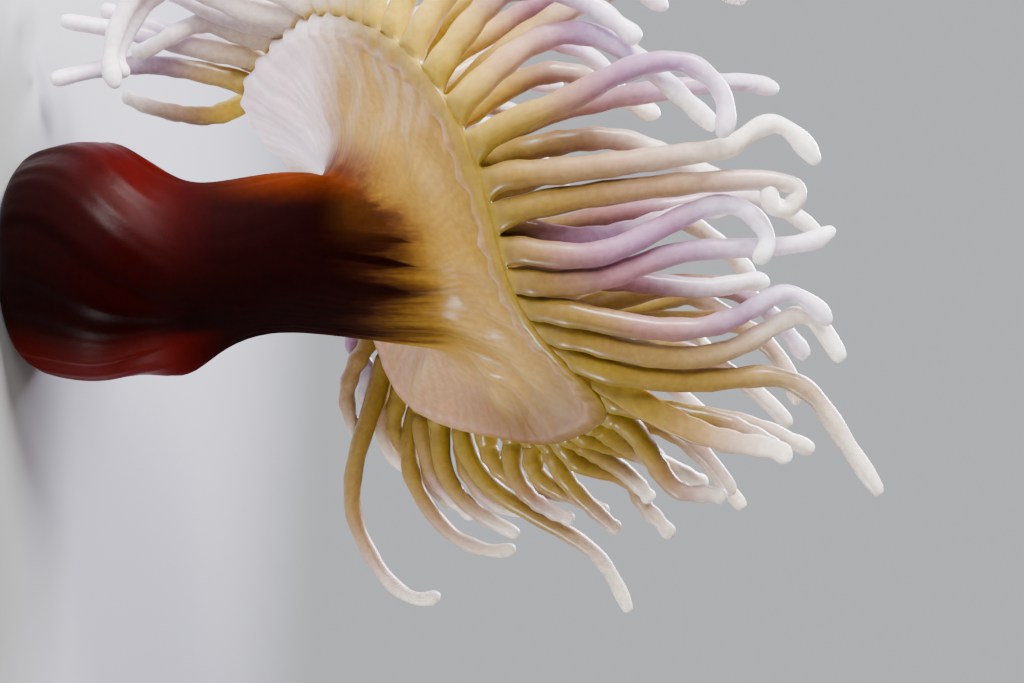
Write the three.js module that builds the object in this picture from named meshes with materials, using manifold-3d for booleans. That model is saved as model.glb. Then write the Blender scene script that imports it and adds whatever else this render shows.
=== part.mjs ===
// Giant Caribbean sea anemone, life size, standing on its pedal disc.
// Millimetres, +Z up. The origin is the middle of the sole, on the floor.
//
// The body is a foot, a column and a wide disc that leans over. The disc's rim is wavy and
// partly folded back. Four tiers of tentacles, 96 in all, grow from the mouth side of the disc:
// 48 on the margin, then 24, 12 and 12.
// Azimuths are in degrees round the body axis, from +X towards +Y.

import * as THREE from 'three';
import { mergeVertices } from 'three/addons/utils/BufferGeometryUtils.js';
import Module from 'manifold-3d';

const wasm = await Module();
wasm.setup();

// ---------------------------------------------------------------- driving dimensions

// Foot and column
const SOLE_RADIUS = 27;
const FOOT_SWELL = 4.5;
const FOOT_SWELL_HEIGHT = 18;
const FOOT_TOP_START = 20;
const SHOULDER_HEIGHT = 46;
const COLUMN_RADIUS = 20.2;
const COLLAR_HEIGHT = 92;
const COLUMN_FLARE = 5.8;
const COLUMN_SWAY = -2.8;
const COLUMN_FLARE_POWER = 2.6;
const COLUMN_LEAN_POWER = 2.2;
// Lobes of the foot: azimuth, height, half width in degrees, half height, swell
const FOOT_LOBES = [
  { azimuth: 5, height: 42, width: 36, tall: 9, swell: 10 },
  { azimuth: 180, height: 24, width: 40, tall: 10, swell: 0.8 },
  { azimuth: 90, height: 32, width: 30, tall: 9, swell: 3.5 },
  { azimuth: 262, height: 30, width: 26, tall: 8, swell: 2.0 },
];

// Disc
const DISC_LEAN = 39;
const DISC_TOWARD = 146;
const DISC_CENTRE = new THREE.Vector3(-7, 9, 106);
const DISC_RADIUS = 66;
const RIM_LEVEL = -4;
const CREST_LEVEL = -1;
const COLLAR_RADIUS = COLUMN_RADIUS + COLUMN_FLARE;
const COLLAR_LEVEL = -18;
const COLLAR_SHIFT = 2.5;
const LIP_THICKNESS = 3.2;
const RIM_OVERHANG = 1;
const ORAL_LEVEL = 4;
const ORAL_SLOPE = 1.9;
// The flare from collar to rim follows a square root: where it starts and how much of it is used
const FLARE_START = 0.55;
const FLARE_SPAN = 0.9;
const FLARE_CURVE = (FLARE_START + FLARE_SPAN) ** 2 - FLARE_START ** 2;
const UNDERSIDE_RISE_POWER = 2.2;
const UNDERSIDE_FALL_POWER = 2.6;
// Folds of the rim: azimuth, half width in degrees, rise of the rim, reach of the rim
const RIM_FOLDS = [
  { azimuth: 50, width: 26, rise: -13, reach: 5 },
  { azimuth: 141, width: 22, rise: -13, reach: 6 },
  { azimuth: 283, width: 30, rise: -9, reach: -8 },
  { azimuth: 321, width: 13, rise: 5, reach: 7 },
  { azimuth: 235, width: 18, rise: -2, reach: 7 },
];
const MOUTH_CONE = { rise: 7, radius: 9, width: 7 };
const MOUTH_PIT = { depth: 6, width: 4 };

// Tentacles
const TENTACLE_STEPS = 24;
const TENTACLE_TAPER = 0.42;
const ROOT_DEPTH = 1.5;
const TENTACLE_SIDES = 5;
const FACET_FULLNESS = 1.08;
const TIP_ROUNDING = 0.6;
const FIRST_RING = 0.08;
const TIERS = [
  { count: 48, turn: 3.75, inset: 0.055, radius: 3.45, length: 68, outward: 1.5, blend: 9 },
  { count: 24, turn: 0, inset: 0.17, radius: 3.5, length: 74, outward: 0.75, blend: 14 },
  { count: 12, turn: 7.5, inset: 0.29, radius: 3.45, length: 76, outward: 0.35, blend: 14 },
  { count: 12, turn: 22.5, inset: 0.42, radius: 3.45, length: 72, outward: 0.12, blend: 14 },
];
const DROOP = new THREE.Vector3(0.85, 0.15, 0.4).normalize();
const SEED = 20261;
// Free tentacles: spread of their lengths and of their waves, and how the heading turns along them
const LENGTH_SPREAD = { least: 0.85, range: 0.3 };
const SIDE_WAVES = { least: 0.96, range: 1.28 };
const UP_WAVES = { least: 0.72, range: 0.96 };
const WAVE_GROWTH = { root: 0.15, gain: 0.55, sideways: 0.55, upward: 0.45 };
const HOOK = { start: 0.72, middle: 0.35, strength: 4 };
const DROOP_TURN = { release: 0.62, pull: 0.75, power: 1.2 };
// Rings along a tentacle: their number grows with its bend in degrees
const RINGS_ALONG = { straight: 1.45, bendPerRing: 115, least: 3, most: 5, stepWeight: 6 };

// Spacing
const GAP = 0.3;
const SLIVER = 0.05;
const WELD = 1e-4;
const SLOT_GAP_ANGLE = 0.3;
const TENTACLE_CLEARANCE = 0.8;
const FLOOR_CLEARANCE = 0.6;
const DISC_CLEARANCE = 0.5;
const RELAX_ROUNDS = 90;
const RELAX_PUSH = 1.2;
const RELAX_EVENING = 0.35;
const RELAX_FADE = 0.995;
const ROOTED_STEPS = 2;
// A point under the disc is pushed down only outside this share of the rim's radius
const UNDER_SHARE = 0.9;
const DISC_PUSH = 0.5;

// Shares of the rim's radius where the disc is parted
const CORE_SHARE = 0.5;
const INNER_SHARE = 0.77;
const MARGIN_SHARE = 0.885;
const MOUTH_RADIUS = 12;
// Flare share and level where the collar ends and the disc's floor begins
const COLLAR_TOP_SHARE = 0.115;
const PARTING_LEVEL = -14;
// Sides of the round forms
const CORE_SIDES = 24;
const STALK_SIDES = 20;

// Colours
const RED = 0x7a1e12;
const MAROON = 0x4a1812;
const ORANGE = 0xa5602a;
const TAN = 0xc8a268;
const OLIVE = 0xbfa560;
const MAUVE = 0xc0a4b4;
const ROUGHNESS = 0.42;

// Lengths that the foot and column are parted into
const STALK_PARTS = [
  { name: 'pedal_disc', low: 0, high: 9, rings: 2, color: RED },
  { name: 'foot', low: 9, high: 30, rings: 3, color: RED },
  { name: 'foot_shoulder', low: 30, high: 46, rings: 3, color: RED },
  { name: 'column_lower', low: 46, high: 61, rings: 1, color: MAROON },
  { name: 'column_middle', low: 61, high: 77, rings: 2, color: MAROON },
  { name: 'column_upper', low: 77, high: 92, rings: 2, color: ORANGE },
];
// Rings of sectors that the tentacles grow from
const CROWN_RINGS = [
  {
    name: 'margin', tiers: [0], count: 24, start: 0,
    inner: MARGIN_SHARE, outer: 1, turnSteps: 2, color: OLIVE,
  },
  {
    name: 'middle_tier', tiers: [1], count: 12, start: -7.5,
    inner: INNER_SHARE, outer: MARGIN_SHARE, turnSteps: 4, color: OLIVE,
  },
  {
    name: 'inner_tier', tiers: [2, 3], count: 12, start: 0,
    inner: CORE_SHARE, outer: INNER_SHARE, turnSteps: 2, color: MAUVE,
  },
];

// Pose of the tentacles on the side that is usually looked at. Bearings are degrees at equal
// steps from root to tip: 0 up the column (+Z), 90 towards +X. away is how far the heading is
// turned towards +Y, in degrees, at the root and at the tip.
const POSES = [
  // near rim, from its top end to its bottom end
  { tier: 0, slot: 32, length: 76, away: [8, 0], bearings: [-48, -46, -30, 8, 38, 43, 42] },
  { tier: 0, slot: 33, length: 77, away: [-6, 0], bearings: [-36, -28, -16, -38, -18, 20, 62, 125] },
  { tier: 1, slot: 17, length: 66, away: [10, 8], bearings: [-50, -14, -14, 0, 20, 25, 20] },
  { tier: 0, slot: 34, length: 85, away: [0, 0], bearings: [-30, 0, -4, -10, -15, 2, -50, 40, 62] },
  { tier: 0, slot: 35, length: 89, away: [0, 0], bearings: [-35, -15, -10, -7, -5, -3, -5, 8, 165, 330] },
  { tier: 0, slot: 36, length: 78, away: [0, 0], bearings: [10, 22, -6, -22, -32, -28, 8, 60, 155] },
  { tier: 1, slot: 18, length: 60, away: [4, 10], bearings: [60, 25, 0, -10, -24, -10, 0] },
  { tier: 0, slot: 37, length: 80, away: [0, 0], bearings: [42, 2, -10, -26, -14, -2, 0, -8, -40] },
  { tier: 1, slot: 19, length: 66, away: [6, 8], bearings: [25, 2, 0, 8, 8, -18, 18] },
  { tier: 0, slot: 38, length: 80, away: [0, 0], bearings: [25, 19, 10, 4, -3, -18, -42, 30, 62] },
  { tier: 0, slot: 39, length: 83, away: [0, 0], bearings: [24, 17, 14, 5, -8, -25, -40, 52, 66] },
  { tier: 1, slot: 20, length: 78, away: [8, 3], bearings: [12, 6, 0, -4, -2, 35, 57, 85] },
  { tier: 0, slot: 40, length: 94, away: [0, 0], bearings: [60, 12, 8, 0, -10, 22, 60, 56, 54] },
  { tier: 1, slot: 21, length: 60, away: [6, 8], bearings: [50, 14, 6, -5, -2, 18] },
  { tier: 0, slot: 41, length: 56, away: [-12, -4], bearings: [50, 32, 26, 22, 0, 40] },
  { tier: 0, slot: 42, length: 48, away: [4, 4], bearings: [15, 14, 8, 10, 28, 25] },
  { tier: 1, slot: 22, length: 67, away: [8, 4], bearings: [20, 15, 13, 5, 12, 24, 26] },
  { tier: 0, slot: 43, length: 42, away: [0, -3], bearings: [30, 38, 62, 52, -5, 25] },
  { tier: 0, slot: 44, length: 30, away: [45, 20], bearings: [33, 33, 30, 35] },
  { tier: 0, slot: 45, length: 50, away: [35, 25], bearings: [20, 20, 25, 30] },
  { tier: 0, slot: 46, length: 36, away: [30, 10], bearings: [30, 30, 40, 58] },
  { tier: 0, slot: 47, length: 50, away: [10, 5], bearings: [100, 50, 10, 15, 70, 42, 60] },
  // hanging rim, round to the far side
  { tier: 0, slot: 0, length: 40, away: [15, 5], bearings: [80, 62, 50, 42, 42] },
  { tier: 0, slot: 1, length: 40, away: [5, 5], bearings: [100, 80, 30, 22, 35] },
  { tier: 0, slot: 2, length: 40, away: [5, 5], bearings: [105, 85, 55, 30, 20] },
  { tier: 0, slot: 3, length: 46, away: [0, 0], bearings: [115, 75, 40, 20, 5, 5] },
  { tier: 0, slot: 4, length: 84, away: [0, 0], bearings: [108, 75, 50, 32, 28, 28, 45, 63, 68] },
  { tier: 0, slot: 5, length: 52, away: [0, 0], bearings: [100, 86, 68, 45, 32, 28] },
  { tier: 0, slot: 6, length: 48, away: [0, 0], bearings: [88, 95, 75, 55, 40, 38] },
  { tier: 0, slot: 7, length: 50, away: [0, 0], bearings: [88, 90, 75, 50, 30] },
  { tier: 1, slot: 3, length: 60, away: [0, 0], bearings: [90, 88, 80, 72, 55, 20, -15] },
  { tier: 1, slot: 4, length: 90, away: [0, 0], bearings: [88, 90, 95, 88, 68, 50, 20, -18] },
  { tier: 0, slot: 8, length: 99, away: [-5, 0], bearings: [95, 97, 118, 107, 92, 68, 58, 35, -35] },
  { tier: 1, slot: 5, length: 72, away: [5, 5], bearings: [110, 105, 95, 85, 55, 28] },
  { tier: 0, slot: 9, length: 53, away: [0, 0], bearings: [135, 113, 108, 78, 84, 140] },
  { tier: 0, slot: 10, length: 44, away: [0, 0], bearings: [120, 60, 150, 40, 120, 90] },
  // rim that is folded back towards the foot
  { tier: 0, slot: 17, length: 22, away: [0, 0], bearings: [40, 70, 90] },
  { tier: 0, slot: 18, length: 42, away: [-10, -10], bearings: [110, 165, 187, 192, 215] },
  { tier: 0, slot: 19, length: 60, away: [-20, -30], bearings: [178, 190, 185, 172, 160, 155] },
  { tier: 0, slot: 20, length: 58, away: [-20, -25], bearings: [175, 190, 190, 186, 184] },
  { tier: 1, slot: 10, length: 60, away: [-8, -15], bearings: [185, 200, 200, 197, 197] },
  { tier: 1, slot: 11, length: 64, away: [-8, -10], bearings: [180, 190, 205, 210, 208] },
  { tier: 0, slot: 21, length: 46, away: [-10, -8], bearings: [172, 190, 210, 150, 148, 157] },
  { tier: 0, slot: 22, length: 60, away: [-5, -5], bearings: [160, 215, 250, 265, 272, 275] },
  { tier: 0, slot: 23, length: 70, away: [-8, -4], bearings: [168, 170, 195, 212, 192, 140, 120, 112, 30] },
  { tier: 0, slot: 24, length: 82, away: [-4, -4], bearings: [200, 203, 203, 198, 175, 130, 116, 95, 65] },
  // top of the rim
  { tier: 0, slot: 25, length: 75, away: [-4, 0], bearings: [230, 250, 262, 268, 275, 285] },
  { tier: 0, slot: 26, length: 80, away: [-4, 0], bearings: [250, 265, 272, 280, 290, 300] },
  { tier: 0, slot: 27, length: 85, away: [-4, 0], bearings: [262, 270, 275, 285, 300, 320] },
  { tier: 0, slot: 28, length: 85, away: [-4, 0], bearings: [268, 272, 280, 290, 305, 330] },
  { tier: 0, slot: 29, length: 85, away: [-4, 0], bearings: [275, 300, 318, 318, 330, 350] },
  { tier: 0, slot: 30, length: 85, away: [-4, 0], bearings: [290, 308, 315, 325, 345, 360] },
  { tier: 0, slot: 31, length: 62, away: [-4, 0], bearings: [300, 307, 310, 355, 380, 400, 405] },
  { tier: 1, slot: 16, length: 85, away: [8, 4], bearings: [-70, -40, -35, -20, 0, 20] },
  { tier: 1, slot: 12, length: 85, away: [0, 0], bearings: [250, 260, 265, 270, 275] },
  { tier: 1, slot: 13, length: 85, away: [0, 0], bearings: [265, 270, 280, 290, 300] },
  { tier: 1, slot: 14, length: 90, away: [0, 0], bearings: [275, 285, 300, 320, 350] },
  { tier: 1, slot: 15, length: 95, away: [0, 0], bearings: [300, 320, 330, 350, 380, 400] },
];

// ---------------------------------------------------------------- small helpers

const radians = THREE.MathUtils.degToRad;
const lerp = THREE.MathUtils.lerp;
const clamp = THREE.MathUtils.clamp;

function smooth(x) {
  const t = clamp(x, 0, 1);
  return t * t * (3 - 2 * t);
}

function bell(x) {
  return Math.exp(-x * x);
}

/** Signed difference of two azimuths in degrees, from -180 to 180. */
function azimuthDifference(a, b) {
  return ((((a - b + 180) % 360) + 360) % 360) - 180;
}

/** Small seeded generator of numbers from 0 to 1: each state is the last one times a factor. */
function makeRandom(seed) {
  const factor = 16807;
  const modulus = 2147483647;
  let state = seed;
  return () => {
    state = (state * factor) % modulus;
    return state / modulus;
  };
}

// ---------------------------------------------------------------- body surface

const lean = radians(DISC_LEAN);
const toward = radians(DISC_TOWARD);
const DISC_NORMAL = new THREE.Vector3(
  Math.sin(lean) * Math.cos(toward),
  Math.sin(lean) * Math.sin(toward),
  Math.cos(lean),
);

/** Axes of a cross-section: upright at tilt 0, the disc's own at tilt 1. */
function sectionAxes(tilt) {
  const normal = new THREE.Vector3(0, 0, 1).lerp(DISC_NORMAL, tilt).normalize();
  const across = new THREE.Vector3(1, 0, 0);
  across.addScaledVector(normal, -across.dot(normal)).normalize();
  const along = new THREE.Vector3().crossVectors(normal, across);
  return { across, along, normal };
}

const DISC_AXES = sectionAxes(1);

/** Point of the disc from its radius, azimuth in degrees and level along its normal. */
function discPoint(radius, azimuth, level, shift = 0) {
  const a = radians(azimuth);
  return DISC_CENTRE.clone()
    .addScaledVector(DISC_AXES.across, radius * Math.cos(a) - shift)
    .addScaledVector(DISC_AXES.along, radius * Math.sin(a))
    .addScaledVector(DISC_AXES.normal, level);
}

const COLLAR_CENTRE = discPoint(0, 0, COLLAR_LEVEL, COLLAR_SHIFT);

/** Reach and level of the rim at an azimuth. */
function rimAt(azimuth) {
  let radius = DISC_RADIUS;
  let level = RIM_LEVEL;
  for (const fold of RIM_FOLDS) {
    const share = bell(azimuthDifference(azimuth, fold.azimuth) / fold.width);
    radius += fold.reach * share;
    level += fold.rise * share;
  }
  return { radius, level };
}

/** How far out from collar (0) to rim (1) a point of the underside is. */
function flareShare(radius, azimuth) {
  const x = clamp((radius - COLLAR_RADIUS) / (rimAt(azimuth).radius - COLLAR_RADIUS), 0, 1);
  return Math.min((Math.sqrt(FLARE_START ** 2 + FLARE_CURVE * x) - FLARE_START) / FLARE_SPAN, 1);
}

/** Level of the disc's underside: it rises from the collar and falls to the rim. */
function undersideLevel(radius, azimuth) {
  const u = flareShare(radius, azimuth);
  const rise = (CREST_LEVEL - COLLAR_LEVEL) * (1 - (1 - u) ** UNDERSIDE_RISE_POWER);
  const fall = (rimAt(azimuth).level - CREST_LEVEL) * u ** UNDERSIDE_FALL_POWER;
  return COLLAR_LEVEL + rise + fall;
}

/** Level of the mouth side of the disc, with the mouth's cone and pit. */
function oralLevel(radius, azimuth) {
  const rim = rimAt(azimuth);
  const edge = rim.level + LIP_THICKNESS;
  const inward = smooth((1 - radius / rim.radius) * ORAL_SLOPE);
  const cone = MOUTH_CONE.rise * bell((radius - MOUTH_CONE.radius) / MOUTH_CONE.width);
  const pit = MOUTH_PIT.depth * bell(radius / MOUTH_PIT.width);
  return edge + (ORAL_LEVEL - edge) * inward + cone - pit;
}

/** Point of the disc, its depths shifted with the collar towards one side. */
function corePoint(radius, azimuth, level) {
  const depth = clamp((ORAL_LEVEL - level) / (ORAL_LEVEL - COLLAR_LEVEL), 0, 1);
  const shift = COLLAR_SHIFT * (1 - flareShare(radius, azimuth)) ** 2 * depth;
  return discPoint(radius, azimuth, level, shift);
}

/** Radius of foot and column at a height. */
function stalkRadius(height, azimuth) {
  const up = clamp((height - SHOULDER_HEIGHT) / (COLLAR_HEIGHT - SHOULDER_HEIGHT), 0, 1);
  const swell = FOOT_SWELL * Math.sin((Math.PI / 2) * clamp(height / FOOT_SWELL_HEIGHT, 0, 1));
  const narrowing = SOLE_RADIUS + FOOT_SWELL - COLUMN_RADIUS;
  const shoulder = narrowing * smooth((height - FOOT_TOP_START) / (SHOULDER_HEIGHT - FOOT_TOP_START));
  let radius = SOLE_RADIUS + swell - shoulder + COLUMN_FLARE * up ** COLUMN_FLARE_POWER;
  for (const lobe of FOOT_LOBES) {
    const turn = azimuthDifference(azimuth, lobe.azimuth) / lobe.width;
    radius += lobe.swell * bell(turn) * bell((height - lobe.height) / lobe.tall);
  }
  return radius;
}

/** Point of foot or column: share 0 is the axis, share 1 the skin. */
function stalkPoint(share, azimuth, height) {
  const up = clamp((height - SHOULDER_HEIGHT) / (COLLAR_HEIGHT - SHOULDER_HEIGHT), 0, 1);
  const climb = up > 0 ? SHOULDER_HEIGHT + (COLLAR_CENTRE.z - SHOULDER_HEIGHT) * up : height;
  const centre = new THREE.Vector3(
    COLLAR_CENTRE.x * up + COLUMN_SWAY * Math.sin(Math.PI * up),
    COLLAR_CENTRE.y * up * up,
    climb,
  );
  const axes = sectionAxes(up ** COLUMN_LEAN_POWER);
  const radius = share * stalkRadius(height, azimuth);
  const a = radians(azimuth);
  return centre
    .addScaledVector(axes.across, radius * Math.cos(a))
    .addScaledVector(axes.along, radius * Math.sin(a));
}

// ---------------------------------------------------------------- tentacle centrelines

/** Root of a tentacle on the mouth side, and the heading it leaves with. */
function tentacleRoot(tier, slot) {
  const { count, turn, inset, outward } = TIERS[tier];
  const azimuth = turn + (slot * 360) / count;
  const radius = rimAt(azimuth).radius * (1 - inset);
  const outwards = discPoint(1, azimuth, 0).sub(DISC_CENTRE);
  return {
    azimuth,
    point: discPoint(radius, azimuth, oralLevel(radius, azimuth)),
    heading: DISC_NORMAL.clone().addScaledVector(outwards, outward).normalize(),
  };
}

/** Centreline that follows a list of bearings. */
function posedPath(root, pose) {
  const { tier } = pose;
  const step = pose.length / TENTACLE_STEPS;
  const path = [root.point];
  for (let i = 0; i < TENTACLE_STEPS; i += 1) {
    const t = (i + 0.5) / TENTACLE_STEPS;
    const x = t * (pose.bearings.length - 1);
    const k = Math.min(Math.floor(x), pose.bearings.length - 2);
    const bearing = radians(lerp(pose.bearings[k], pose.bearings[k + 1], x - k));
    const away = radians(lerp(pose.away[0], pose.away[1], t));
    const heading = new THREE.Vector3(
      Math.sin(bearing) * Math.cos(away),
      Math.sin(away),
      Math.cos(bearing) * Math.cos(away),
    );
    const bent = smooth(((i + 0.5) * step) / TIERS[tier].blend);
    const turned = root.heading.clone().lerp(heading, bent).normalize();
    path.push(path[i].clone().addScaledVector(turned, step));
  }
  return path;
}

/** A random amount between a least value and that value plus a range. */
function spread({ least, range }, random) {
  return least + range * random();
}

/** Centreline that leaves along the root's heading, droops and waves. */
function freePath(root, tier, random) {
  const length = TIERS[tier].length * spread(LENGTH_SPREAD, random);
  const sidePhase = random() * 2 * Math.PI;
  const upPhase = random() * 2 * Math.PI;
  const sideWaves = spread(SIDE_WAVES, random);
  const upWaves = spread(UP_WAVES, random);
  const hook = (random() - HOOK.middle) * HOOK.strength;
  const side = new THREE.Vector3().crossVectors(root.heading, DROOP).normalize();
  const up = new THREE.Vector3().crossVectors(side, root.heading).normalize();
  const step = length / TENTACLE_STEPS;
  const path = [root.point];
  for (let i = 0; i < TENTACLE_STEPS; i += 1) {
    const t = (i + 0.5) / TENTACLE_STEPS;
    const wave = WAVE_GROWTH.root + WAVE_GROWTH.gain * t;
    const turn = t ** DROOP_TURN.power;
    const curl = hook * Math.max(0, t - HOOK.start);
    const sideways = Math.sin(sideWaves * 2 * Math.PI * t + sidePhase);
    const upward = Math.sin(upWaves * 2 * Math.PI * t + upPhase);
    const heading = root.heading
      .clone()
      .multiplyScalar(1 - DROOP_TURN.release * turn)
      .addScaledVector(DROOP, DROOP_TURN.pull * turn)
      .addScaledVector(side, WAVE_GROWTH.sideways * wave * sideways)
      .addScaledVector(up, WAVE_GROWTH.upward * wave * upward + curl)
      .normalize();
    path.push(path[i].clone().addScaledVector(heading, step));
  }
  return path;
}

/** Radius of a tentacle at a share of its length. */
function tentacleRadius(tier, t) {
  return TIERS[tier].radius * (1 - TENTACLE_TAPER * t);
}

/** All 96 tentacles with their first centrelines. */
function layTentacles() {
  const random = makeRandom(SEED);
  const tentacles = [];
  TIERS.forEach(({ count }, tier) => {
    for (let slot = 0; slot < count; slot += 1) {
      const root = tentacleRoot(tier, slot);
      const pose = POSES.find((entry) => entry.tier === tier && entry.slot === slot);
      const laid = pose ? posedPath(root, pose) : freePath(root, tier, random);
      tentacles.push({ tier, slot, root, laid, path: laid.map((point) => point.clone()) });
    }
  });
  return tentacles;
}

/** Pushes for every pair of centreline points that are closer than the tentacles are thick. */
function clearancePushes(tentacles) {
  const pushes = tentacles.map(({ path }) => path.map(() => ({ sum: new THREE.Vector3(), count: 0 })));
  const between = new THREE.Vector3();
  for (let a = 0; a < tentacles.length; a += 1) {
    for (let b = a + 1; b < tentacles.length; b += 1) {
      for (let i = 0; i <= TENTACLE_STEPS; i += 1) {
        for (let j = 0; j <= TENTACLE_STEPS; j += 1) {
          between.subVectors(tentacles[a].path[i], tentacles[b].path[j]);
          const distance = between.length() + 1e-9;
          const need =
            tentacleRadius(tentacles[a].tier, i / TENTACLE_STEPS) +
            tentacleRadius(tentacles[b].tier, j / TENTACLE_STEPS) +
            TENTACLE_CLEARANCE;
          if (distance < need && (i > ROOTED_STEPS || j > ROOTED_STEPS)) {
            const fixed = i < ROOTED_STEPS || j < ROOTED_STEPS;
            between.multiplyScalar(((need - distance) * (fixed ? 1 : 0.5)) / distance);
            pushes[a][i].sum.add(between);
            pushes[b][j].sum.sub(between);
            pushes[a][i].count += 1;
            pushes[b][j].count += 1;
          }
        }
      }
    }
  }
  return pushes;
}

/** Moves a point out of the disc by the shortest way: over it, past the rim or under it. */
function clearDisc(point, radius) {
  const local = point.clone().sub(DISC_CENTRE);
  const a = local.dot(DISC_AXES.across);
  const b = local.dot(DISC_AXES.along);
  const level = local.dot(DISC_AXES.normal);
  const out = Math.hypot(a, b);
  const azimuth = THREE.MathUtils.radToDeg(Math.atan2(b, a));
  const rim = rimAt(azimuth).radius;
  const margin = radius + DISC_CLEARANCE;
  const above = oralLevel(Math.min(out, rim), azimuth) + margin - level;
  const past = rim + margin - out;
  const below = level - undersideLevel(Math.min(out, rim), azimuth) + margin;
  if (above <= 0 || past <= 0 || below <= 0) return;
  const under = out > UNDER_SHARE * rim ? below : Infinity;
  const least = Math.min(above, past, under);
  if (least === above) {
    point.addScaledVector(DISC_NORMAL, DISC_PUSH * above);
  } else if (least === past) {
    point.addScaledVector(DISC_AXES.across, (DISC_PUSH * past * a) / out);
    point.addScaledVector(DISC_AXES.along, (DISC_PUSH * past * b) / out);
  } else {
    point.addScaledVector(DISC_NORMAL, -DISC_PUSH * below);
  }
}

/** Keeps the tentacles clear of each other, of the disc and of the floor. */
function relaxTentacles(tentacles) {
  for (let round = 0; round < RELAX_ROUNDS; round += 1) {
    const pushes = clearancePushes(tentacles);
    tentacles.forEach((tentacle, index) => {
      const { tier, path, laid } = tentacle;
      const moves = path.map((point, i) => {
        const { sum, count } = pushes[index][i];
        const radius = tentacleRadius(tier, i / TENTACLE_STEPS);
        point.addScaledVector(sum, RELAX_PUSH / Math.max(count, 1));
        if (i > ROOTED_STEPS) clearDisc(point, radius);
        point.z = Math.max(point.z, radius + FLOOR_CLEARANCE);
        return point.clone().sub(laid[i]);
      });
      moves.slice(0, ROOTED_STEPS).forEach((move) => move.set(0, 0, 0));
      path.forEach((point, i) => {
        const before = moves[Math.max(i - 1, 0)];
        const after = moves[Math.min(i + 1, TENTACLE_STEPS)];
        const even = before.clone().add(after).addScaledVector(moves[i], 2).divideScalar(4);
        if (i === TENTACLE_STEPS) even.copy(before).add(moves[i]).divideScalar(2);
        if (i < ROOTED_STEPS) even.set(0, 0, 0);
        even.lerp(moves[i], 1 - RELAX_EVENING).multiplyScalar(RELAX_FADE);
        point.copy(laid[i]).add(even);
      });
    });
  }
}

// ---------------------------------------------------------------- solids

/** Warps every vertex of a geometry, and welds it into one closed body. */
function warped(geometry, map) {
  geometry.deleteAttribute('normal');
  geometry.deleteAttribute('uv');
  const position = geometry.attributes.position;
  const vertex = new THREE.Vector3();
  for (let i = 0; i < position.count; i += 1) {
    vertex.fromBufferAttribute(position, i);
    const moved = map(vertex);
    position.setXYZ(i, moved.x, moved.y, moved.z);
  }
  return mergeVertices(geometry, WELD);
}

/** Solid of revolution of a profile of [share, level] points, warped by azimuth. */
function warpedRound(profile, sides, map) {
  const points = profile.map(([share, level]) => new THREE.Vector2(share, level));
  return warped(new THREE.LatheGeometry(points, sides), ({ x, y, z }) => {
    const azimuth = -THREE.MathUtils.radToDeg(Math.atan2(z, x));
    return map(Math.hypot(x, z), azimuth, y);
  });
}

function toManifold(geometry) {
  return new wasm.Manifold(
    new wasm.Mesh({
      numProp: 3,
      vertProperties: new Float32Array(geometry.attributes.position.array),
      triVerts: new Uint32Array(geometry.index.array),
    }),
  );
}

/** Biggest shell of a solid without its slivers, so no crumb or sealed pocket is left. */
function largestShell(solid) {
  return solid
    .decompose()
    .reduce((best, shell) => (shell.volume() > best.volume() ? shell : best))
    .setTolerance(SLIVER);
}

function fromManifold(solid) {
  const mesh = solid.getMesh();
  const geometry = new THREE.BufferGeometry();
  geometry.setAttribute('position', new THREE.BufferAttribute(mesh.vertProperties, 3));
  geometry.setIndex(new THREE.BufferAttribute(mesh.triVerts, 1));
  return geometry;
}

/** Piece of foot or column between two heights. */
function stalkPiece(low, high, rings) {
  const profile = [[0, low]];
  for (let i = 0; i <= rings; i += 1) {
    profile.push([1, lerp(low, high, i / rings)]);
  }
  profile.push([0, high]);
  return warpedRound(profile, STALK_SIDES, stalkPoint);
}

/** Block of the disc between two radii and two azimuths, from underside to mouth side. */
function discBlock(inner, outer, start, end, turnSteps) {
  const box = new THREE.BoxGeometry(1, 1, 1, 1, turnSteps, 1);
  return warped(box, ({ x, y, z }) => {
    const azimuth = lerp(start + SLOT_GAP_ANGLE / 2, end - SLOT_GAP_ANGLE / 2, y + 0.5);
    const rim = rimAt(azimuth).radius;
    const last = outer < 1 ? outer * rim - GAP / 2 : rim + RIM_OVERHANG * (z - 0.1);
    const radius = lerp(inner * rim + GAP / 2, last, x + 0.5);
    const level = lerp(undersideLevel(radius, azimuth), oralLevel(radius, azimuth), z + 0.5);
    return corePoint(radius, azimuth, level);
  });
}

/** Places along a centreline where a tentacle's rings go, closer where it bends. */
function ringPlaces(path) {
  const measure = [0];
  let bend = 0;
  for (let i = 1; i <= TENTACLE_STEPS; i += 1) {
    const before = path[Math.max(i - 1, 1)].clone().sub(path[Math.max(i - 2, 0)]);
    const after = path[i].clone().sub(path[i - 1]);
    const turn = THREE.MathUtils.radToDeg(before.angleTo(after));
    bend += turn;
    measure.push(measure[i - 1] + RINGS_ALONG.stepWeight + turn);
  }
  const { straight, bendPerRing, least, most } = RINGS_ALONG;
  const segments = clamp(Math.round(straight + bend / bendPerRing), least, most);
  const places = [];
  for (let k = 0; k <= segments; k += 1) {
    const target = measure[TENTACLE_STEPS] * (k === 0 ? 0 : lerp(FIRST_RING, 1, (k - 1) / (segments - 1)));
    let i = 0;
    while (i < TENTACLE_STEPS - 1 && measure[i + 1] < target) i += 1;
    places.push(i + (target - measure[i]) / (measure[i + 1] - measure[i]));
  }
  return places;
}

function pathPoint(path, place) {
  const i = Math.min(Math.floor(place), TENTACLE_STEPS - 1);
  return path[i].clone().lerp(path[i + 1], place - i);
}

function pathHeading(path, place) {
  return pathPoint(path, Math.min(place + 1, TENTACLE_STEPS))
    .sub(pathPoint(path, Math.max(place - 1, 0)))
    .normalize();
}

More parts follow.
